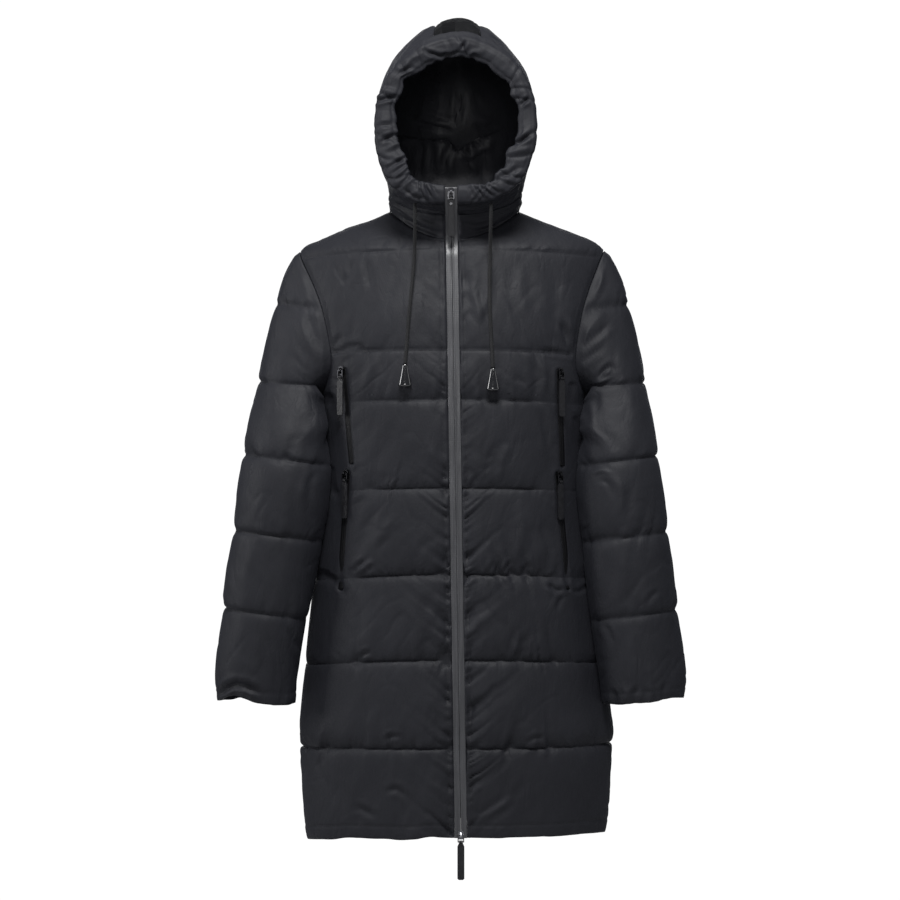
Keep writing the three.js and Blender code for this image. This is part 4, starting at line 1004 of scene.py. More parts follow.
SLEEVE_FOLDS = {
    -1: [  # image left
        ([(284, 451), (288, 458), (296, 462)], 2.2, -1.6),
        ([(306, 310), (314, 330), (324, 352)], 4.0, -1.4),
        ([(298, 318), (306, 340), (318, 362)], 4.0, 1.2),
        ([(300, 395), (312, 412), (328, 428)], 4.0, -1.8, (0, 1)),
        ([(306, 388), (318, 404), (330, 414)], 3.4, 1.2),
        ([(318, 470), (310, 484), (312, 500)], 3.2, -1.2),
        ([(305, 478), (300, 500), (302, 524)], 4.0, 0.9),
        ([(262, 392), (258, 420), (262, 446)], 6.0, -0.7),
        ([(289, 400), (282, 424), (290, 448)], 5.0, 0.8),
        ([(253, 545), (246, 575), (250, 602)], 5.0, 0.8),
        ([(276, 545), (272, 575), (278, 606)], 6.0, -0.8),
        ([(288, 626), (294, 640), (300, 652)], 3.0, -1.4),
        ([(240, 618), (236, 650), (244, 680)], 6.0, 0.8),
        ([(262, 622), (266, 654), (258, 688)], 6.0, -0.8),
        ([(222, 694), (236, 686), (252, 690), (260, 698)], 3.6, -3.2, (1, 0)),
        ([(227, 700), (242, 694), (262, 699)], 3.0, 1.4),
        ([(296, 265), (292, 280), (286, 298)], 5.0, -0.9),
    ],
    1: [  # image right
        ([(600, 378), (603, 372), (610, 367), (617, 371)], 2.2, -2.2),
        ([(597, 380), (606, 382), (616, 378)], 2.4, 1.4),
        ([(584, 346), (596, 336), (612, 322)], 3.0, -2.0, (1, 0)),
        ([(584, 336), (594, 322), (606, 312)], 3.2, 1.3, (1, 0)),
        ([(583, 360), (594, 352), (606, 348)], 3.2, -1.4, (1, 0)),
        ([(590, 262), (594, 274), (592, 290)], 3.0, -1.6),
        ([(598, 262), (600, 280), (594, 298)], 3.4, 1.3),
        ([(604, 392), (610, 416), (606, 440)], 3.6, 1.5),
        ([(614, 390), (612, 420), (618, 452)], 4.6, -1.2),
        ([(590, 474), (602, 470), (612, 476)], 2.2, 1.3),
        ([(596, 478), (608, 484), (614, 500)], 2.6, -1.4),
        ([(612, 474), (622, 490), (620, 516)], 3.6, 1.2),
        ([(630, 480), (628, 500), (634, 524)], 4.6, -0.9),
        ([(580, 430), (590, 424), (600, 426)], 3.4, -1.8, (1, 0)),
        ([(618, 550), (624, 575), (620, 604)], 5.4, 1.0),
        ([(604, 548), (608, 580), (604, 612)], 5.0, -0.8),
        ([(600, 622), (608, 632), (612, 646)], 2.8, -1.3),
        ([(646, 606), (652, 596), (660, 590)], 2.6, -1.2),
        ([(634, 630), (630, 660), (636, 690)], 6.0, 0.9),
        ([(612, 706), (614, 696), (610, 688)], 2.6, -1.8, (1, 0)),
        ([(622, 705), (626, 694), (622, 684)], 2.4, 1.5, (1, 0)),
        ([(634, 705), (634, 694), (640, 686)], 2.6, -1.7, (1, 0)),
        ([(650, 703), (652, 692), (648, 682)], 2.6, 1.2, (1, 0)),
        ([(664, 700), (664, 690), (670, 682)], 2.4, -1.4, (1, 0)),
    ],
}


def make_sleeve(side):
    name = "left" if side > 0 else "right"
    s = np.linspace(0, 1, 61)[:-1]
    hs = list(0.014 + (1 - 0.014) * s)
    for k in range(4):
        hs += list(1 + k + np.linspace(0, 1, 47)[:-1])
    hs = np.array(hs + [5.0])
    phi = np.linspace(0, 2 * math.pi, 133)[:-1]
    H, F = np.meshgrid(hs, phi, indexing="ij")
    P = sleeve_point(side, H, F)
    N = normals_of(P, True, 1.0)
    if (N[40:, :, :] * (P[40:] - P[40:].mean(1, keepdims=True))).sum() < 0:
        N = -N
    x, y, z = P[..., 0], P[..., 1], P[..., 2]
    level = z - 0.125 * (np.abs(x) - 260)
    lines = np.array(SLEEVE_LINES, float)
    seed = 900 if side > 0 else 1100
    da = np.linalg.norm(P - P[:1], axis=-1)
    # at the armhole the sleeve leaves the seam along the body's own surface
    q0 = ARM_Q + ARM_HALF * np.cos(phi)
    half0 = np.where(np.sin(phi) > 0, ARM_FRONT, ARM_BACK)
    n_body = normal_at(torso_base, side * (math.pi / 2 - half0 * np.sin(phi)), q0)[None]
    N = unit(lerp(n_body, N, smooth(0, 22, da)[..., None]))
    # rows between the quilt lines
    k = np.clip(np.searchsorted(-lines, -level, side="right") - 1, 0, len(lines) - 2)
    top, low = lines[k], lines[k + 1]
    f = np.clip((level - low) / (top - low), 0, 1)
    deep_top = np.array([0.0, 5.0, 4.2, 4.2, 4.2, 4.2])[k]
    deep_low = np.array([5.0, 4.2, 4.2, 4.2, 4.2, 0.2])[k]
    puff = np.array([1.6, 2.0, 2.4, 2.4, 2.4, 1.4])[k]
    c = channel(f)
    h = BASE - np.maximum(deep_low * groove(level - low, 3.2), deep_top * groove(top - level, 4.4)) + puff * c
    across = np.where(np.sin(F) > 0, x, 700 - x)
    for i in range(1, len(lines)):
        away = level - lines[i]
        amp = (0, 4.6, 5.0, 5.4, 5.4, 5.0, 1.8)[i]
        add = pucker(across, away, seed + 10 * i, np.where(away > 0, 17.0, 10.0), amp * np.where(away > 0, 1.0, 0.7), 0.45 * noise1(across / 70.0, seed + 5 + i))
        h = h + np.where(np.abs(away) < 70, add, 0)
    h = h + c * (0.8 * rough2(across / 30.0, (z + 0.3 * x) / 130.0, seed + 71, 3) + 0.5 * rough2((across + z) / 30.0, (z - across) / 90.0, seed + 75, 2))
    h = h + c * (1.2 * wrinkles((across + 0.2 * z) / 36.0, z / 130.0, seed + 171) + 1.1 * wrinkles((across - 0.7 * z) / 34.0, (z + 0.7 * across) / 90.0, seed + 181))
    # gathers at the armhole
    h = h + (1.2 * noise1(F / (2 * math.pi) * 34 + 0.02 * da, seed + 80) + 1.3 * crisp(F / (2 * math.pi) * 30 + 0.015 * da, seed + 81)) * np.exp(-da / 24.0) * (1 - np.exp(-da / 5.0))
    # cuff: turned edge with a stitched band above it
    cuff = 5.0 - H
    dc = np.where(H > 1, cuff * 118.0, 500.0)
    h = h - 1.0 * np.exp(-dc / 2.2) - 0.9 * np.exp(-(((dc - 16) / 2.0) ** 2))
    h = h + (1.1 * noise1(across / 9.0, seed + 83) + 1.0 * crisp(across / 13.0, seed + 85)) * np.exp(-dc / 16.0) + 1.2 * noise1(across / 20.0, seed + 84) * np.exp(-dc / 30.0)
    px, py = project(P)
    h = h + 1.5 * creases(px, py, SLEEVE_FOLDS[side]) * smooth(0.1, 0.4, -N[..., 1])
    # full where it lies against the flank
    gap = side * (x - zip_x(z)) - flank_limit(P, side)
    facing = (1 - smooth(4, 34, gap)) * (z < -150)
    h = np.where(h < 0, h * (1 - 0.75 * facing), h)
    h = np.clip(h, -8.0, 5.0)
    h = lerp(SEAM_IN, h, smooth(0, 12, da))
    out = P + N * h[..., None]
    # the cuff's edge: lifted at the front towards the outside, and a little wavy
    lift = np.exp(-dc / 17.0)
    rise = (11.0 if side < 0 else 3.5) * np.exp(-(((F - 0.95) / 0.5) ** 2))
    wave = 1.5 * noise1(across / 15.0, seed + 86)
    out[..., 2] += lift * (rise + wave)
    # under the arm it rests close against the side
    room = side * (out[..., 0] - zip_x(out[..., 2])) - flank_limit(out, side)
    pit = np.exp(-(((z + 280) / 44.0) ** 4)) * (1 - smooth(-0.2, 0.35, np.cos(F))) * smooth(0.2, 0.8, H)
    sx = side * out[..., 0] - np.clip(room - 0.3, 0, 26) * pit
    least = (177.0 if side > 0 else 189.0) - 40.0 * smooth(-20, 10, out[..., 1])
    sx = lerp(sx, least + 7.0 * np.logaddexp(0.0, (sx - least) / 7.0), smooth(0, 0.6, pit))
    out[..., 0] = side * sx
    # clear of the flank
    limit = flank_limit(out, side)
    dx = side * (out[..., 0] - zip_x(out[..., 2]))
    push = (H > 0.95) & (dx < limit)
    out[..., 0] = np.where(push, zip_x(out[..., 2]) + side * limit, out[..., 0])
    N2 = normals_of(out, True, 1.0)
    if (N2 * N).sum() < 0:
        N2 = -N2
    inner = P + N * np.minimum(-WALL, h - 1.6)[..., None]
    inner[..., 0] = np.where(push, out[..., 0] + side * 3.0, inner[..., 0])
    inner[..., 2] += lift * (rise + wave)
    pts, quads, tris = shell(out, inner, wrap=True)
    o = build(f"cloth_sleeve_{name}", pts, quads, tris, SHELL, [f"sleeve_{name}"])
    PANELS[f"sleeve_{name}"] = (out, N)


make_sleeve(1)
make_sleeve(-1)

# ============================================================== collar and hood
C_FRONT, C_BACK, C_CENTRE = 8, 13, 3
RING = 2 * C_FRONT + C_BACK
CENTRE_FROM = C_FRONT + (C_BACK - C_CENTRE) / 2
CENTRE_TO = CENTRE_FROM + C_CENTRE


def ring_angle(v, i):
    v, i = np.broadcast_arrays(np.asarray(v, float), np.asarray(i, float))
    flat = np.unique(v)
    o = np.interp(v, flat, edge_angle(hood_base, flat, 1, ZIP_EDGE))
    r = np.interp(v, flat, -edge_angle(hood_base, flat, -1, ZIP_EDGE))
    first = lerp(o, math.pi / 2, i / C_FRONT)
    mid = lerp(math.pi / 2, 1.5 * math.pi, (i - C_FRONT) / C_BACK)
    last = lerp(1.5 * math.pi, 2 * math.pi - r, (i - C_FRONT - C_BACK) / C_FRONT)
    return np.where(i <= C_FRONT, first, np.where(i <= C_FRONT + C_BACK, mid, last))


def hood_grid(v, i):
    V, I = np.meshgrid(v, i, indexing="ij")
    A = ring_angle(V, I)
    P = hood_base(A, V)
    N = normal_at(hood_base, A, np.clip(V, 0.03, 7.97))
    return V, I, A, P, N


def clear_zip(P):
    d = P[..., 0] - zip_x(P[..., 2])
    close = (np.abs(d) < ZIP_EDGE) & (P[..., 1] < -40)
    P[..., 0] = np.where(close, zip_x(P[..., 2]) + np.where(d < 0, -1, 1) * ZIP_EDGE, P[..., 0])
    return P


def arc_of(P):
    """Running length along the columns, in mm, from the grid's middle row."""
    r = P.shape[0] // 2
    s = np.concatenate([[0], np.cumsum(np.linalg.norm(np.diff(P[r], axis=0), axis=1))])
    return np.broadcast_to(s[None, :], P.shape[:2])


COLLAR_FOLDS = [
    ([(398, 214), (415, 225), (440, 236)], 2.6, -3.0),
    ([(404, 208), (424, 216), (444, 222)], 2.4, 1.4),
    ([(416, 212), (430, 220), (445, 226)], 2.2, -1.6),
    ([(463, 229), (476, 231), (490, 228), (508, 220), (520, 213)], 2.6, -3.2),
    ([(462, 221), (480, 222), (500, 216)], 2.2, -1.6),
    ([(486, 224), (500, 224), (514, 214)], 2.4, 1.6),
    ([(462, 212), (474, 214), (486, 212)], 2.0, -1.2),
    ([(430, 209), (438, 212), (446, 211)], 2.0, -1.3),
    ([(424, 232), (434, 238), (444, 240)], 2.2, 1.3),
    ([(462, 236), (478, 236), (492, 233)], 2.2, 1.3),
]


def make_collar():
    v = np.linspace(0.002, 0.988, 34)
    i = np.linspace(0, RING, 301)
    V, I, A, P, N = hood_grid(v, i)
    arc = arc_of(P)
    f = (V - 0.002) / 0.986
    h = -1.4 * (1 - np.sin(math.pi * f) ** 0.6) + 1.2 * np.sin(math.pi * f)
    # the stand is squashed, so it carries long level folds
    h = h + 1.6 * np.sin(math.pi * f) * noise2(arc / 95.0, f * 4.2 + 0.2 * noise1(arc / 60.0, 41), 1301)
    h = h + 0.9 * np.sin(math.pi * f) * noise2(arc / 40.0, f * 7.0, 1302)
    h = h + 1.2 * noise1(arc / 11.0, 1303) * np.exp(-f * 40 / 10.0) + 1.0 * noise1(arc / 13.0, 1304) * np.exp(-(1 - f) * 40 / 10.0)
    px, py = project(P)
    h = h + creases(px, py, COLLAR_FOLDS) * smooth(0.2, 0.5, -N[..., 1])
    d = np.abs(P[..., 0] - zip_x(P[..., 2]))
    front = P[..., 1] < -40
    h = np.where(front, h - 3.0 * (1 - smooth(9.2, 13.0, d)) + 1.0 * np.exp(-(((d - 13) / 4.0) ** 2)), h)
    h = np.clip(h, -6.0, 4.5) * smooth(0, 0.14, f)
    out = clear_zip(P + N * h[..., None])
    inner = clear_zip(P + N * np.minimum(-WALL, h - 1.6)[..., None])
    pts, quads, tris = shell(out, inner)
    o = build("cloth_collar", pts, quads, tris, SHELL, ["collar"])


make_collar()

HOOD_FOLDS = [
    ([(377, 101), (388, 98), (400, 97)], 3.0, -2.0, (1, 0)),
    ([(533, 133), (522, 140), (512, 146)], 3.0, -1.8, (1, 0)),
    ([(389, 160), (393, 172), (402, 186)], 3.0, -1.6),
    ([(388, 186), (396, 198), (410, 204)], 3.0, 1.4),
    ([(516, 186), (508, 196), (496, 203)], 3.0, -1.6),
]


def make_hood_panel(name, i0, i1, seed, material, lines=()):
    v = np.concatenate([[0.992], np.linspace(1.01, 8.0, 129)])
    n = max(40, int((i1 - i0) * 8.5))
    i = np.linspace(i0 + (0.004 if i0 > 0 else 0), i1 - (0.004 if i1 < RING else 0), n)
    V, I, A, P, N = hood_grid(v, i)
    arc = arc_of(P)
    up = (V - 1) * 58.0
    h = np.zeros_like(V) + 1.2
    # a soft crown over the panel, seams drawn in
    for edge, sign in ((i0, 1), (i1, -1)):
        if 0 < edge < RING:
            d = np.abs(I - edge) * (24.0 if edge in (CENTRE_FROM, CENTRE_TO) else 20.0)
            h = h - 3.4 * np.exp(-d / 5.0) - 0.7 * np.exp(-(((d - 7.5) / 1.4) ** 2))
            h = h + 1.3 * noise1((up + 0.4 * d) / 13.0, seed + 1) * np.exp(-d / 20.0) * (1 - np.exp(-d / 4.0))
    h = h - 2.6 * np.exp(-up / 5.0) - 2.2 * np.exp(-(8 - V) * 58.0 / 6.0)
    h = h + 1.6 * noise1(arc / 14.0, seed + 3) * np.exp(-up / 22.0) + 1.8 * noise1(arc / 15.0, seed + 4) * np.exp(-(8 - V) * 58 / 26.0)
    h = h + 1.3 * rough2(arc / 42.0, up / 75.0, seed + 6, 3) + 0.9 * noise2((arc + up) / 60.0, (arc - up) / 22.0, seed + 8)
    px, py = project(P)
    h = h + creases(px, py, HOOD_FOLDS) * smooth(0.0, 0.3, -N[..., 1])
    h = h - (3.4 if name == "hood_centre" else 2.4) * smooth(285, 325, P[..., 2])
    P[..., 0] = lerp(P[..., 0], -1.0, 0.09 * smooth(235, 320, P[..., 2]))
    h = np.clip(h, -8.5, 5.0)
    out = clear_zip(P + N * h[..., None])
    inner = clear_zip(P + N * np.minimum(-WALL, h - 1.6)[..., None])
    pts, quads, tris = shell(out, inner)
    o = build(f"cloth_{name}", pts, quads, tris, material, [name])


make_hood_panel("hood_left", 0, CENTRE_FROM, 1400, SHELL)
make_hood_panel("hood_right", CENTRE_TO, RING, 1500, SHELL)
make_hood_panel("hood_centre", CENTRE_FROM, CENTRE_TO, 1600, DARK_SHELL)

NECK_EDGE = np.array([(380, 140), (398, 144), (410, 148), (430, 149), (444, 149), (451, 157), (459, 163), (470, 157), (486, 148), (502, 138), (520, 130)], float)
LINING_FOLDS = [
    ([(400, 80), (412, 71), (428, 69), (446, 73)], 2.8, 2.0),
    ([(398, 84), (412, 77), (428, 75), (444, 79)], 2.4, -2.0),
    ([(406, 119), (418, 119), (432, 124), (450, 130)], 3.0, -3.6),
    ([(406, 124), (420, 125), (436, 129), (452, 135)], 2.4, 2.6),
    ([(462, 164), (474, 156), (488, 148), (502, 138)], 2.8, 3.6),
    ([(462, 172), (476, 163), (490, 155), (500, 150)], 2.6, -3.0),
    ([(456, 78), (461, 100), (457, 124), (456, 140)], 2.6, 2.0),
    ([(450, 80), (452, 104), (450, 128)], 2.4, -1.3),
    ([(454, 150), (457, 158), (462, 162)], 1.6, -1.8),
    ([(416, 148), (418, 164), (421, 184)], 2.2, -2.0),
    ([(424, 146), (427, 166), (430, 186)], 2.2, 1.8),
    ([(432, 148), (434, 166), (437, 186)], 2.0, -1.6),
    ([(441, 148), (443, 168), (444, 186)], 2.2, 1.5),
    ([(410, 148), (411, 168), (414, 186)], 2.2, 1.6),
    ([(448, 166), (450, 178), (450, 190)], 2.4, -1.8),
    ([(470, 172), (478, 176), (480, 186)], 2.6, -1.6),
    ([(492, 152), (491, 166), (486, 182)], 2.6, 1.6),
    ([(478, 118), (490, 122), (500, 120)], 3.0, -1.8),
    ([(476, 128), (488, 132), (498, 128)], 3.0, 1.6),
    ([(412, 96), (424, 94), (440, 97)], 3.0, -1.2),
    ([(414, 104), (428, 102), (444, 106)], 3.2, 1.0),
    ([(476, 86), (486, 96), (494, 108)], 2.4, -1.6),
]


def make_lining():
    v = np.concatenate([np.linspace(0.9, 3.4, 90)[:-1], np.linspace(3.4, 7.85, 95)])
    i = np.linspace(3.5, RING - 3.5, 250)
    V, I, A, P, N = hood_grid(v, i)
    arc = arc_of(P)
    up = (V - 1) * 58.0
    body = smooth(0, 0.3, V - 0.9) * smooth(0, 0.5, 7.85 - V) * smooth(0, 1.0, I - 3.5) * smooth(0, 1.0, RING - 3.5 - I)
    h = 1.5 * rough2(arc / 26.0, up / 110.0, 1701, 3) + 1.1 * rough2((arc + 0.8 * up) / 24.0, (up - 0.6 * arc) / 90.0, 1705, 2)
    px, py = project(P)
    inside = smooth(0.05, 0.35, N[..., 1])
    h = h - 1.8 * creases(px, py, LINING_FOLDS) * inside
    h = np.clip(h * body, -7.5, 4.5)
    base = -WALL - 6.6
    # the neck's facing stands forward of the hood and ends in a slack, gathered edge
    edge = np.interp(px, NECK_EDGE[:, 0], NECK_EDGE[:, 1]) + 1.2 * noise1(px / 4.0, 1711)
    t = np.clip((188 - py) / (188 - edge), 0, 1)
    back = smooth(0.1, 0.5, N[..., 1]) * smooth(372, 412, px) * (1 - smooth(478, 524, px))
    push = 20.0 * t * (1 - smooth(0, 5.5, edge - py)) * back
    h = h - push * (0.9 + 0.25 * noise1(px / 7.0, 1712))
    out = P + N * (base + h)[..., None]
    inner = P + N * (base + h - 0.7)[..., None]
    pts, quads, tris = shell(out, inner)
    o = build("cloth_hood_lining", pts, quads, tris, LINING, ["hood_lining"])


make_lining()

# padded rim: pinches given along the rim by where they fall in the picture
RIM_OUT, RIM_WIDTH, RIM_DEPTH, RIM_STAND = -2.0, 27.0, 19.4, -0.4
RIM_FOLDS = [
    ([(422, 49), (431, 53.5), (441, 55), (452, 53.5), (461, 49.5)], 1.7, -3.4),
    ([(461, 50), (463, 46), (467, 41)], 1.6, -2.6),
    ([(466, 56), (474, 52), (484, 53)], 2.0, 1.6),
    ([(399, 74), (406, 70), (414, 65)], 1.9, -2.8),
    ([(404, 64), (412, 58), (422, 54)], 2.4, 1.4),
    ([(377, 101), (388, 98), (399, 97)], 1.9, -3.2, (1, 0)),
    ([(379, 92), (388, 90), (397, 92)], 2.2, 1.6),
    ([(380, 126), (385, 125), (391, 126)], 1.8, -2.2),
    ([(380, 143), (391, 136), (401, 135)], 1.9, -3.0),
    ([(384, 152), (395, 143), (404, 141)], 2.2, 1.8),
    ([(386, 170), (398, 160), (408, 150)], 1.9, -2.6),
    ([(392, 180), (403, 170), (411, 160)], 2.0, 1.8),
    ([(398, 186), (408, 178), (415, 170)], 1.9, -2.4),
    ([(496, 80), (500, 90), (514, 100)], 1.9, -3.2),
    ([(504, 80), (509, 90), (520, 96)], 2.2, 1.6),
    ([(518, 106), (525, 101), (530, 97)], 1.7, -2.8),
    ([(504, 152), (518, 143), (533, 132)], 2.0, -3.4),
    ([(506, 162), (520, 152), (532, 146)], 2.2, 1.8),
    ([(498, 182), (511, 173), (522, 166)], 2.0, -3.0),
    ([(494, 174), (505, 166), (514, 158)], 2.0, 1.4),
    ([(399, 184), (412, 195), (430, 200)], 1.7, -1.8),
    ([(417, 187), (421, 193), (424, 200)], 1.4, -2.2),
    ([(424, 186), (428, 192), (432, 199)], 1.4, -2.4),
    ([(431, 185), (435, 191), (440, 197)], 1.4, -2.2),
    ([(467, 185), (471, 191), (474, 198)], 1.4, -2.2),
    ([(474, 184), (479, 191), (483, 198)], 1.4, -2.6),
    ([(481, 184), (487, 191), (493, 197)], 1.4, -2.4),
    ([(489, 184), (494, 189), (501, 194)], 1.4, -1.8),
]
RIM_PINCHES = [  # picture pixel, depth in mm, width along the rim in mm, lean
    ((388, 98), 3.6, 7, 0.2), ((386, 125), 2.0, 6, -0.3), ((390, 139), 3.0, 7, 0.5),
    ((398, 160), 3.4, 8, 0.9), ((405, 174), 2.2, 6, 0.8), ((406, 70), 3.4, 8, 0.5),
    ((420, 55), 2.4, 8, 0.4), ((463, 48), 3.6, 8, -0.8), ((452, 50), 1.6, 6, -0.4),
    ((499, 84), 3.0, 7, -0.6), ((523, 101), 3.6, 7, 0.4), ((510, 93), 2.4, 6, 0.5),
    ((518, 138), 3.4, 8, -0.8), ((508, 154), 2.0, 6, -0.8), ((508, 174), 3.6, 8, -0.7),
    ((424, 189), 2.8, 5, -0.9), ((430, 190), 2.0, 4, -0.9), ((417, 190), 1.6, 5, -0.7),
    ((472, 189), 2.2, 4, 0.9), ((478, 190), 2.8, 5, 1.0), ((485, 190), 1.8, 4, 1.0),
    ((400, 190), 1.8, 7, 0.4), ((498, 190), 1.8, 6, -0.4), ((440, 190), 1.4, 5, 0.3),
]


def make_rim():
    rows, cols = 420, 44
    a0 = float(edge_angle(hood_base, np.array([8.0]), 1, ZIP_EDGE)[0])
    a1 = 2 * math.pi + float(edge_angle(hood_base, np.array([8.0]), -1, ZIP_EDGE)[0])
    a = np.linspace(a0, a1, rows)
    centre = np.array([0, -98, 160.0])
    p = hood_base(a, 8.0)
    tangent = unit(hood_base(np.minimum(a + 0.02, a1), 8.0) - hood_base(np.maximum(a - 0.02, a0), 8.0))
    facing = unit(np.array([0, -260.0, -27.0]))
    inward = unit(np.cross(tangent, facing))
    inward = np.where(((centre - p) * inward).sum(-1, keepdims=True) < 0, -inward, inward)
    w_end = np.minimum(np.arange(rows), np.arange(rows)[::-1]) / 14.0
    w_end = smooth(0, 1, w_end)[:, None]
    inward = unit(lerp(np.array([[0, 0, 1.0]]), inward, w_end))
    forward = unit(np.cross(inward, tangent))
    forward = np.where((forward * facing).sum(-1, keepdims=True) < 0, -forward, forward)
    arc = np.concatenate([[0], np.cumsum(np.linalg.norm(np.diff(p, axis=0), axis=1))])
    total = arc[-1]
    # a rounded section, flat at the back where it meets the hood
    t = np.linspace(0, 2 * math.pi, cols, endpoint=False)
    su = 0.47 - 0.53 * np.sign(np.cos(t)) * np.abs(np.cos(t)) ** 0.82
    sw = 0.5 + 0.5 * np.sign(np.sin(t)) * np.abs(np.sin(t)) ** 0.72
    mid_p = p + inward * (RIM_OUT + 0.5 * RIM_WIDTH) + forward * (RIM_STAND + 0.5 * RIM_DEPTH)
    mx, my = project(mid_p)
    ARC, T = np.meshgrid(arc, t, indexing="ij")
    SU, SW = np.broadcast_to(su, ARC.shape), np.broadcast_to(sw, ARC.shape)
    h = np.zeros_like(ARC) + 0.6
    for (cx, cy), deep, wide, lean in RIM_PINCHES:
        i = int(np.argmin(np.hypot(mx - cx, my - cy)))
        s = ARC - arc[i] - lean * (SU - 0.5) * RIM_WIDTH
        face = 0.25 + 0.75 * np.clip(np.sin(T) + 0.35, 0, 1)
        h = h - deep * 0.5 * np.exp(-((s / (wide * 0.36)) ** 2)) * face
        h = h + deep * 0.25 * np.exp(-(((np.abs(s) - wide * 1.05) / (wide * 0.7)) ** 2)) * face
    h = h + 1.1 * noise1(ARC / 17.0 + 0.6 * SU, 1801) + 1.0 * noise2(ARC / 34.0, SU * 2.4 + 5, 1802) + 0.5 * noise2(ARC / 9.0, SU * 2.0, 1803)
    low = smooth(24, 6, np.abs(my - 189))[:, None] * smooth(30, 60, np.minimum(arc, total - arc))[:, None]
    h = h + 1.3 * low * noise1((ARC - 0.9 * SU * RIM_WIDTH * np.sign(ARC - total / 2)) / 6.5, 1804)
    q0 = p[:, None, :] + inward[:, None, :] * (RIM_OUT + SU * RIM_WIDTH)[..., None] + forward[:, None, :] * (RIM_STAND + SW * RIM_DEPTH)[..., None]
    q0[..., 2] -= 11.0 * smooth(195, 288, p[:, 2])[:, None] * smooth(0, 0.7, SW)
    fx, fy = project(q0)
    h = h + 1.5 * creases(fx, fy, RIM_FOLDS) * np.clip(np.sin(T) + 0.3, 0, 1)
    # a fine lip along the inner edge
    h = h + (-1.3 * np.exp(-(((SU - 0.82) / 0.05) ** 2)) + 0.9 * np.exp(-(((SU - 0.95) / 0.05) ** 2))) * (np.sin(T) > -0.2)
    # topstitching of the cord's channel, near the outer edge
    h = h - 0.9 * np.exp(-(((SU - 0.18) / 0.045) ** 2)) * (np.sin(T) > 0)
    h = h * lerp(0.25, 1, w_end)
    h = np.clip(h, -5.0, 3.8)
    corner = np.exp(-(((my - 163) / 17.0) ** 2))[:, None]
    wander = (4.4 * noise1(arc / 27.0, 1805)[:, None] + 1.6 * noise1(arc / 11.0, 1806)[:, None] + 8.5 * corner) * w_end * smooth(0.3, 1, SU)
    u = RIM_OUT + SU * RIM_WIDTH + wander
    w = RIM_STAND + SW * RIM_DEPTH
    gu, gw = -np.sign(np.cos(T)) * np.abs(np.cos(T)), np.sin(T)
    u = u + h * gu
    w = np.maximum(w + h * gw, RIM_STAND)
    pts = p[:, None, :] + inward[:, None, :] * u[..., None] + forward[:, None, :] * w[..., None]
    # the band over the forehead droops forward
    pts[..., 2] -= 11.0 * smooth(195, 288, p[:, 2])[:, None] * smooth(0, 0.7, SW)
    d = pts[..., 0] - zip_x(pts[..., 2])
    lim = (np.abs(d) < ZIP_EDGE) & (pts[..., 2] < 80)
    pts[..., 0] = np.where(lim, zip_x(pts[..., 2]) + np.where(d < 0, -1, 1) * ZIP_EDGE, pts[..., 0])
    r, c = np.meshgrid(np.arange(rows - 1), np.arange(cols), indexing="ij")
    idx = lambda r, c: r * cols + c % cols
    quads = np.stack([idx(r, c), idx(r, c + 1), idx(r + 1, c + 1), idx(r + 1, c)], -1).reshape(-1, 4)
    flat = pts.reshape(-1, 3)
    flat = np.concatenate([flat, pts[0].mean(0)[None], pts[-1].mean(0)[None]])
    tris = [(rows * cols, (c + 1) % cols, c) for c in range(cols)] + [
        (rows * cols + 1, (rows - 1) * cols + c, (rows - 1) * cols + (c + 1) % cols) for c in range(cols)
    ]
    o = build("cloth_hood_rim", flat, quads, np.array(tris), SHELL, ["hood_rim"])


make_rim()


# ============================================================== stitches
def stitches(name, runs, pitch=3.6, long=2.5, wide=0.34, high=0.3, stands_on="coat"):
    """Short threads lying along sewn lines: runs of (points, normals), in mm."""
    pts, quads, tris, base = [], [], [], 0
    section = [(-1, 0), (-0.55, 0.9), (0.55, 0.9), (1, 0)]
    for line, normal in runs:
        seg = np.linalg.norm(np.diff(line, axis=0), axis=1)
        s = np.concatenate([[0], np.cumsum(seg)])
        if s[-1] < 12:
            continue
        mids = np.arange(4.0, s[-1] - 4.0, pitch)
        get = lambda A, at: np.stack([np.interp(at, s, A[:, k]) for k in range(3)], 1)
        C = get(line, mids)
        D = unit(get(line, mids + 0.8) - get(line, mids - 0.8))
        M = unit(get(normal, mids))
        S = unit(np.cross(D, M))
        M = np.cross(S, D)
        for c, d, m, w in zip(C, D, M, S):
            ring = []
            for e, r in ((-long / 2, 0.15), (-long * 0.3, 1.0), (long * 0.3, 1.0), (long / 2, 0.15)):
                for a, b in section:
                    ring.append(c + d * e + w * (a * wide * r) + m * (b * high * (0.25 + 0.75 * r) - 0.06))
            pts += ring
            for k in range(3):
                for j in range(4):
                    a, b = base + k * 4 + j, base + k * 4 + (j + 1) % 4
                    quads.append((a, b, b + 4, a + 4))
            quads.append((base + 3, base + 2, base + 1, base))
            quads.append((base + 12, base + 13, base + 14, base + 15))
            base += 16
    return build(name, np.array(pts), np.array(quads), None, THREAD, smooth=False)


def row_at(grid, q):
    i = int(np.argmin(np.abs(ROWS - q)))
    return grid[i]


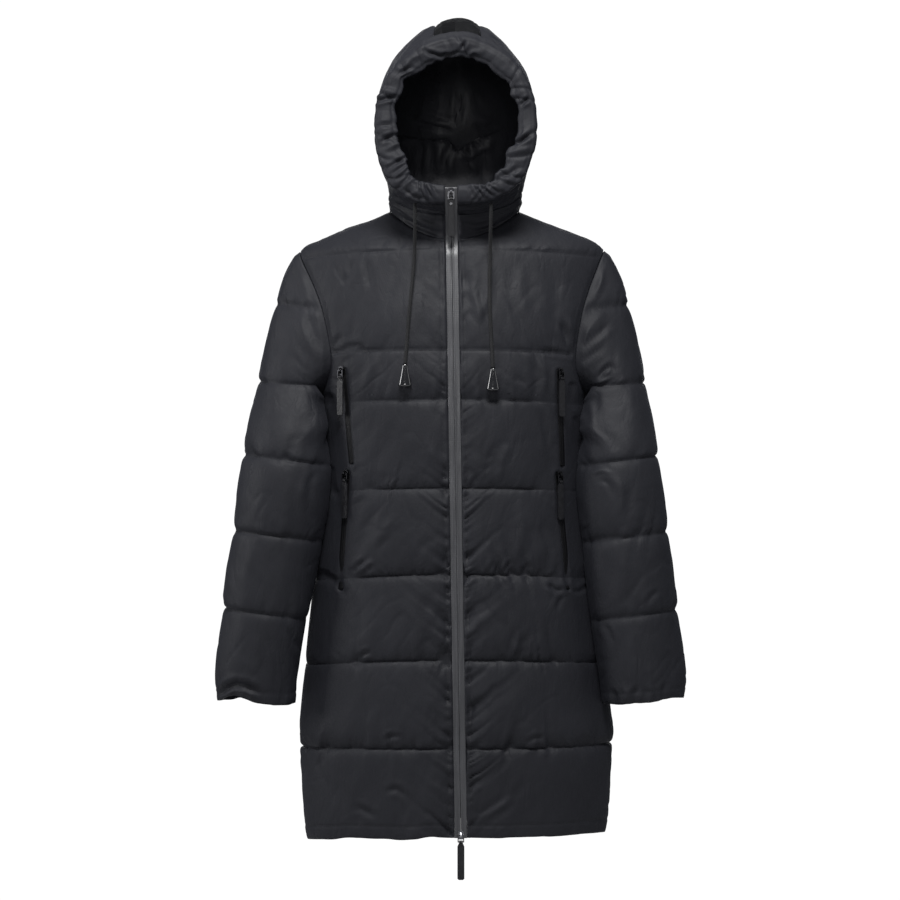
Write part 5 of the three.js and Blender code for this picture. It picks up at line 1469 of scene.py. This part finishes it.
for name in ("front_left", "front_right", "back"):
    out, N = PANELS[name]
    runs = []
    for q in (1, 2, 3, 4, 5, 6, 7):
        keep = slice(3, -3)
        line, nrm = row_at(out, q)[keep], row_at(N, q)[keep]
        if name != "back":
            dp, _ = pocket_distance(line)
            dz = np.abs(line[:, 0] - zip_x(line[:, 2]))
            ok = (dp > 8) & (dz > 14)
            cuts = np.flatnonzero(np.diff(ok.astype(int))) + 1
            for a, b in zip([0, *cuts], [*cuts, len(ok)]):
                if ok[a] and b - a > 3:
                    runs.append((line[a:b], nrm[a:b]))
        else:
            runs.append((line, nrm))
    runs.append((row_at(out, 19 / 134), row_at(N, 19 / 134)))
    if name != "back":
        side = 1 if name == "front_left" else -1
        d = side * (out[..., 0] - zip_x(out[..., 2]))
        j = np.argmin(np.abs(d - 16.5), axis=1)
        r = np.arange(4, len(ROWS) - 3)
        runs.append((out[r, j[r]] , N[r, j[r]]))
    stitches(f"stitches_{name}", runs)

# ============================================================== zips
CAD_ROWS = [k + f for k in range(8) for f in ((0, 0.35, 0.7) if k == 7 else (0, 0.3, 0.65) if k == 6 else (0, 0.25, 0.75))] + [8]
line = [torso_cad(np.array(0.0001), np.array(float(q)), 0.6)[1:] for q in CAD_ROWS]
for v in (0.25, 0.6, 1, 3, 5, 8):
    p = hood_base(np.array(0.0001), np.array(float(v)))
    line.append(np.array([(p[1] if v <= 1 else lerp(-93, -98, (v - 1) / 7)) + 3.5, p[2]]))
line[-1] = np.array([-98.0, 56.0])
ZIP_LINE = np.array(line)


def zip_y(z):
    return np.interp(z, ZIP_LINE[:, 1], ZIP_LINE[:, 0])


def main_zip(side):
    z = np.linspace(-926, 56, 330)
    y0 = zip_y(z)
    k = np.ones(9) / 9
    pad = np.concatenate([np.full(4, y0[0]), y0, np.full(4, y0[-1])])
    ys = np.convolve(pad, k, mode="valid")
    # across: the laminated lip at the meeting line, a flat with fine ribs, the outer edge
    d = np.array([0.05, 0.12, 0.5, 1.1, 1.8, 2.5, 3.2, 4.0, 4.9, 5.8, 6.7, 7.6, 8.4, 9.27])
    up = np.array([-0.9, 0.1, 0.62, 0.85, 0.8, 0.45, 0.18, 0.12, 0.2, 0.1, 0.18, 0.08, 0.1, -0.1])
    Z, D = np.meshgrid(z, d, indexing="ij")
    U = np.broadcast_to(up, Z.shape) + 0.22 * noise1(Z / 19.0, 2001 + side) * smooth(0.5, 6, D)
    out = np.stack([zip_x(Z) + side * D, ys[:, None] - U, Z], -1)
    inner = np.stack([zip_x(Z) + side * D, ys[:, None] + 1.5 + 0 * D, Z], -1)
    pts, quads, tris = shell(out, inner, step=1)
    name = "left" if side > 0 else "right"
    o = build(f"tape_main_{name}", pts, quads, tris, TAPE, [f"zip_main_{name}"])


main_zip(1)
main_zip(-1)


def front_at(x, z):
    """Ring angle and row of the front's point at x and z."""
    a, q = np.zeros_like(x), np.zeros_like(x)
    for _ in range(5):
        lo, hi = np.zeros_like(x), np.full_like(x, 8.0)
        for _ in range(34):
            q = (lo + hi) / 2
            under = torso_base(a, q)[..., 2] < z
            lo, hi = np.where(under, q, lo), np.where(under, hi, q)
        side = np.where(x - zip_x(z) < 0, -1.0, 1.0)
        dist = np.abs(x - zip_x(z))
        al, ah = np.zeros_like(x), np.full_like(x, math.pi / 2)
        for _ in range(34):
            m = (al + ah) / 2
            p = torso_base(side * m, q)
            near = np.abs(p[..., 0] - zip_x(p[..., 2])) < dist
            al, ah = np.where(near, m, al), np.where(near, ah, m)
        a = side * ah
    return a, q


def pocket_zip(name, x1, z1, x2, z2):
    n = 90
    t = np.linspace(0, 1, n)[:, None]
    d = np.array([-4.0, -3.2, -2.2, -1.3, -0.6, 0.0, 0.6, 1.3, 2.2, 3.2, 4.0])[None, :]
    X, Z = lerp(x1, x2, t) + d, lerp(z1 + 3, z2, t) + 0 * d
    a, q = front_at(X, Z)
    lift = np.array([0.0, 0.1, 0.3, 0.75, 0.6, 0.1, 0.6, 0.75, 0.3, 0.1, 0.0])[None, :]
    out = torso_cad(a, q, 0.0) + normal_at(torso_base, a, q) * (0.2 + lift + 0 * X)[..., None]
    inner = torso_cad(a, q, -1.2)
    pts, quads, tris = shell(out, inner, step=1)
    o = build(f"tape_pocket_{name}", pts, quads, tris, DARK_TAPE, [f"zip_pocket_{name}"])


for name, row in POCKETS.items():
    pocket_zip(name, *row)

# ============================================================== drawcord
CORD_ROWS = {
    "right": [(-61.8, 30, 26), (-62, 0, 25), (-62.6, -44, 17), (-66, -90, 8.5), (-69.4, -125, 6), (-73, -170, 5), (-76.5, -213, 6.5)],
    "left": [(53, 30, 26), (52.4, 0, 25), (51.6, -44, 17), (50.8, -90, 8.5), (51.2, -130, 6), (53.4, -176, 5), (55.6, -219, 6.5)],
}


def on_front(x, z):
    a, q = front_at(np.array([float(x)]), np.array([float(z)]))
    return torso_cad(a, q, 0.0)[0]


def centripetal(p, n):
    """A smooth curve through the points, evenly thinned to n points."""
    p = np.array(p, float)
    ext = np.concatenate([[2 * p[0] - p[1]], p, [2 * p[-1] - p[-2]]])
    out = []
    for i in range(1, len(ext) - 2):
        p0, p1, p2, p3 = ext[i - 1 : i + 3]
        t0 = 0.0
        t1 = t0 + np.linalg.norm(p1 - p0) ** 0.5
        t2 = t1 + np.linalg.norm(p2 - p1) ** 0.5
        t3 = t2 + np.linalg.norm(p3 - p2) ** 0.5
        for t in np.linspace(t1, t2, 24, endpoint=False):
            a1 = (t1 - t) / (t1 - t0) * p0 + (t - t0) / (t1 - t0) * p1
            a2 = (t2 - t) / (t2 - t1) * p1 + (t - t1) / (t2 - t1) * p2
            a3 = (t3 - t) / (t3 - t2) * p2 + (t - t2) / (t3 - t2) * p3
            b1 = (t2 - t) / (t2 - t0) * a1 + (t - t0) / (t2 - t0) * a2
            b2 = (t3 - t) / (t3 - t1) * a2 + (t - t1) / (t3 - t1) * a3
            out.append((t2 - t) / (t2 - t1) * b1 + (t - t1) / (t2 - t1) * b2)
    out.append(p[-1])
    out = np.array(out)
    s = np.concatenate([[0], np.cumsum(np.linalg.norm(np.diff(out, axis=0), axis=1))])
    at = np.linspace(0, s[-1], n)
    return np.stack([np.interp(at, s, out[:, k]) for k in range(3)], 1)


def make_cord(name, rows):
    route = []
    for x, z, off in rows:
        if z > -20:
            p = on_front(x, -24)
            route.append((x, min(p[1], -86) - off - (10 if z > 10 else 8), z))
        else:
            p = on_front(x, z)
            route.append((x, p[1] - off, z))
    path = centripetal(route, 140)
    # braid: a round tube whose surface is lifted in two crossed spirals
    rings, around = len(path), 20
    tang = unit(np.gradient(path, axis=0))
    nx = unit(np.cross(tang, np.array([0, 1.0, 0])))
    ny = np.cross(tang, nx)
    s = np.concatenate([[0], np.cumsum(np.linalg.norm(np.diff(path, axis=0), axis=1))])
    th = np.linspace(0, 2 * math.pi, around, endpoint=False)
    S, T = np.meshgrid(s, th, indexing="ij")
    r = 2.62 + 0.13 * np.cos(S / 1.9 + T * 3) * np.cos(S / 1.9 - T * 3)
    pts = path[:, None, :] + r[..., None] * (np.cos(T)[..., None] * nx[:, None, :] + np.sin(T)[..., None] * ny[:, None, :])
    i, j = np.meshgrid(np.arange(rings - 1), np.arange(around), indexing="ij")
    idx = lambda i, j: i * around + j % around
    quads = np.stack([idx(i, j), idx(i, j + 1), idx(i + 1, j + 1), idx(i + 1, j)], -1).reshape(-1, 4)
    flat = np.concatenate([pts.reshape(-1, 3), path[:1], path[-1:]])
    tris = [(rings * around, (j + 1) % around, j) for j in range(around)] + [
        (rings * around + 1, (rings - 1) * around + j, (rings - 1) * around + (j + 1) % around) for j in range(around)
    ]
    cord = build(f"drawcord_{name}", flat, quads, np.array(tris), CORD, [f"cord_{name}"])
    # bell-shaped end, oval in section, with a rolled lip and a dark mouth
    end = path[-1]
    prof = [(0.0, -0.2), (2.6, -0.2), (3.3, -0.6), (3.7, -1.6), (4.1, -3.4), (4.8, -6.5), (5.9, -11.0), (7.2, -16.0), (8.6, -21.0), (9.8, -25.5),
            (10.5, -28.4), (10.9, -29.6), (11.0, -30.8), (10.7, -32.0), (10.0, -32.8), (9.0, -33.0), (8.3, -32.5), (7.6, -31.0), (6.0, -27.0), (0.0, -26.5)]
    prof = np.array(prof)
    m = 48
    ang = np.linspace(0, 2 * math.pi, m, endpoint=False)
    R = prof[1:-1, 0][:, None]
    Zp = prof[1:-1, 1][:, None]
    dent = 1 - 0.07 * np.clip(np.cos(2 * ang), 0, 1)[None, :] * smooth(-4, -20, Zp)
    ring = np.stack([R * np.cos(ang)[None, :] * dent, R * np.sin(ang)[None, :] * 0.66 * dent, Zp + 0 * ang[None, :]], -1)
    centre = np.array([end[0], end[1] - 3.2, end[2] - 0.4])
    ring = ring + centre
    k = len(ring)
    i, j = np.meshgrid(np.arange(k - 1), np.arange(m), indexing="ij")
    idx = lambda i, j: i * m + j % m
    quads = np.stack([idx(i, j), idx(i, j + 1), idx(i + 1, j + 1), idx(i + 1, j)], -1).reshape(-1, 4)
    flat = np.concatenate([ring.reshape(-1, 3), centre[None] + [[0, 0, -0.2]], centre[None] + [[0, 0, -26.5]]])
    tris = [(k * m, (j + 1) % m, j) for j in range(m)] + [(k * m + 1, (k - 1) * m + j, (k - 1) * m + (j + 1) % m) for j in range(m)]
    bell = build(f"cord_bell_{name}", flat, quads, np.array(tris), BELL, [f"cord_end_{name}"])


for name, rows in CORD_ROWS.items():
    make_cord(name, rows)


# ============================================================== carried-over metal and straps
def finish_node(name, material, width=0.0003):
    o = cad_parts[name]
    o.data.materials.clear()
    o.data.materials.append(material)
    b = o.modifiers.new("edges", "BEVEL")
    b.width = width
    b.segments = 2
    b.limit_method = "ANGLE"
    b.angle_limit = math.radians(40)
    for p in o.data.polygons:
        p.use_smooth = False


SLOT_OF = {}
for key in ("main_top", "main_bottom", "pocket_right_upper", "pocket_right_lower", "pocket_left_upper", "pocket_left_lower"):
    finish_node(f"slider_{key}", BRIGHT_METAL if key == "main_bottom" else DARK_METAL, 0.00045)
    finish_node(f"ring_{key}", NICKEL if key.startswith("main") else DARK_METAL, 0.0002)
    finish_node(f"tab_{key}", STRAP, 0.0004)
finish_node("rivet_main", NICKEL, 0.0003)

# ============================================================== floor
floor = bpy.data.meshes.new("floor")
n = 96
ring_pts = [(2.5 * math.cos(i / n * 2 * math.pi), 2.5 * math.sin(i / n * 2 * math.pi), -1.46) for i in range(n)]
floor.from_pydata(ring_pts, [], [list(range(n))])
floor_obj = bpy.data.objects.new("floor", floor)
bpy.context.scene.collection.objects.link(floor_obj)
fm, fnt, fb = new_material("pale_floor")
fb.inputs["Base Color"].default_value = (0.5, 0.5, 0.51, 1)
fb.inputs["Roughness"].default_value = 0.8
f_mix, f_path, f_pale = fnt.nodes.new("ShaderNodeMixShader"), fnt.nodes.new("ShaderNodeLightPath"), fnt.nodes.new("ShaderNodeEmission")
f_pale.inputs["Color"].default_value = (0.9, 0.9, 0.905, 1)
f_scale = math_node(fnt, "MULTIPLY", f_path.outputs["Is Camera Ray"], 0.85)
fnt.links.new(f_scale, f_mix.inputs[0])
fnt.links.new(fb.outputs[0], f_mix.inputs[1])
fnt.links.new(f_pale.outputs[0], f_mix.inputs[2])
fnt.links.new(f_mix.outputs[0], next(n for n in fnt.nodes if n.type == "OUTPUT_MATERIAL").inputs[0])
floor.materials.append(fm)
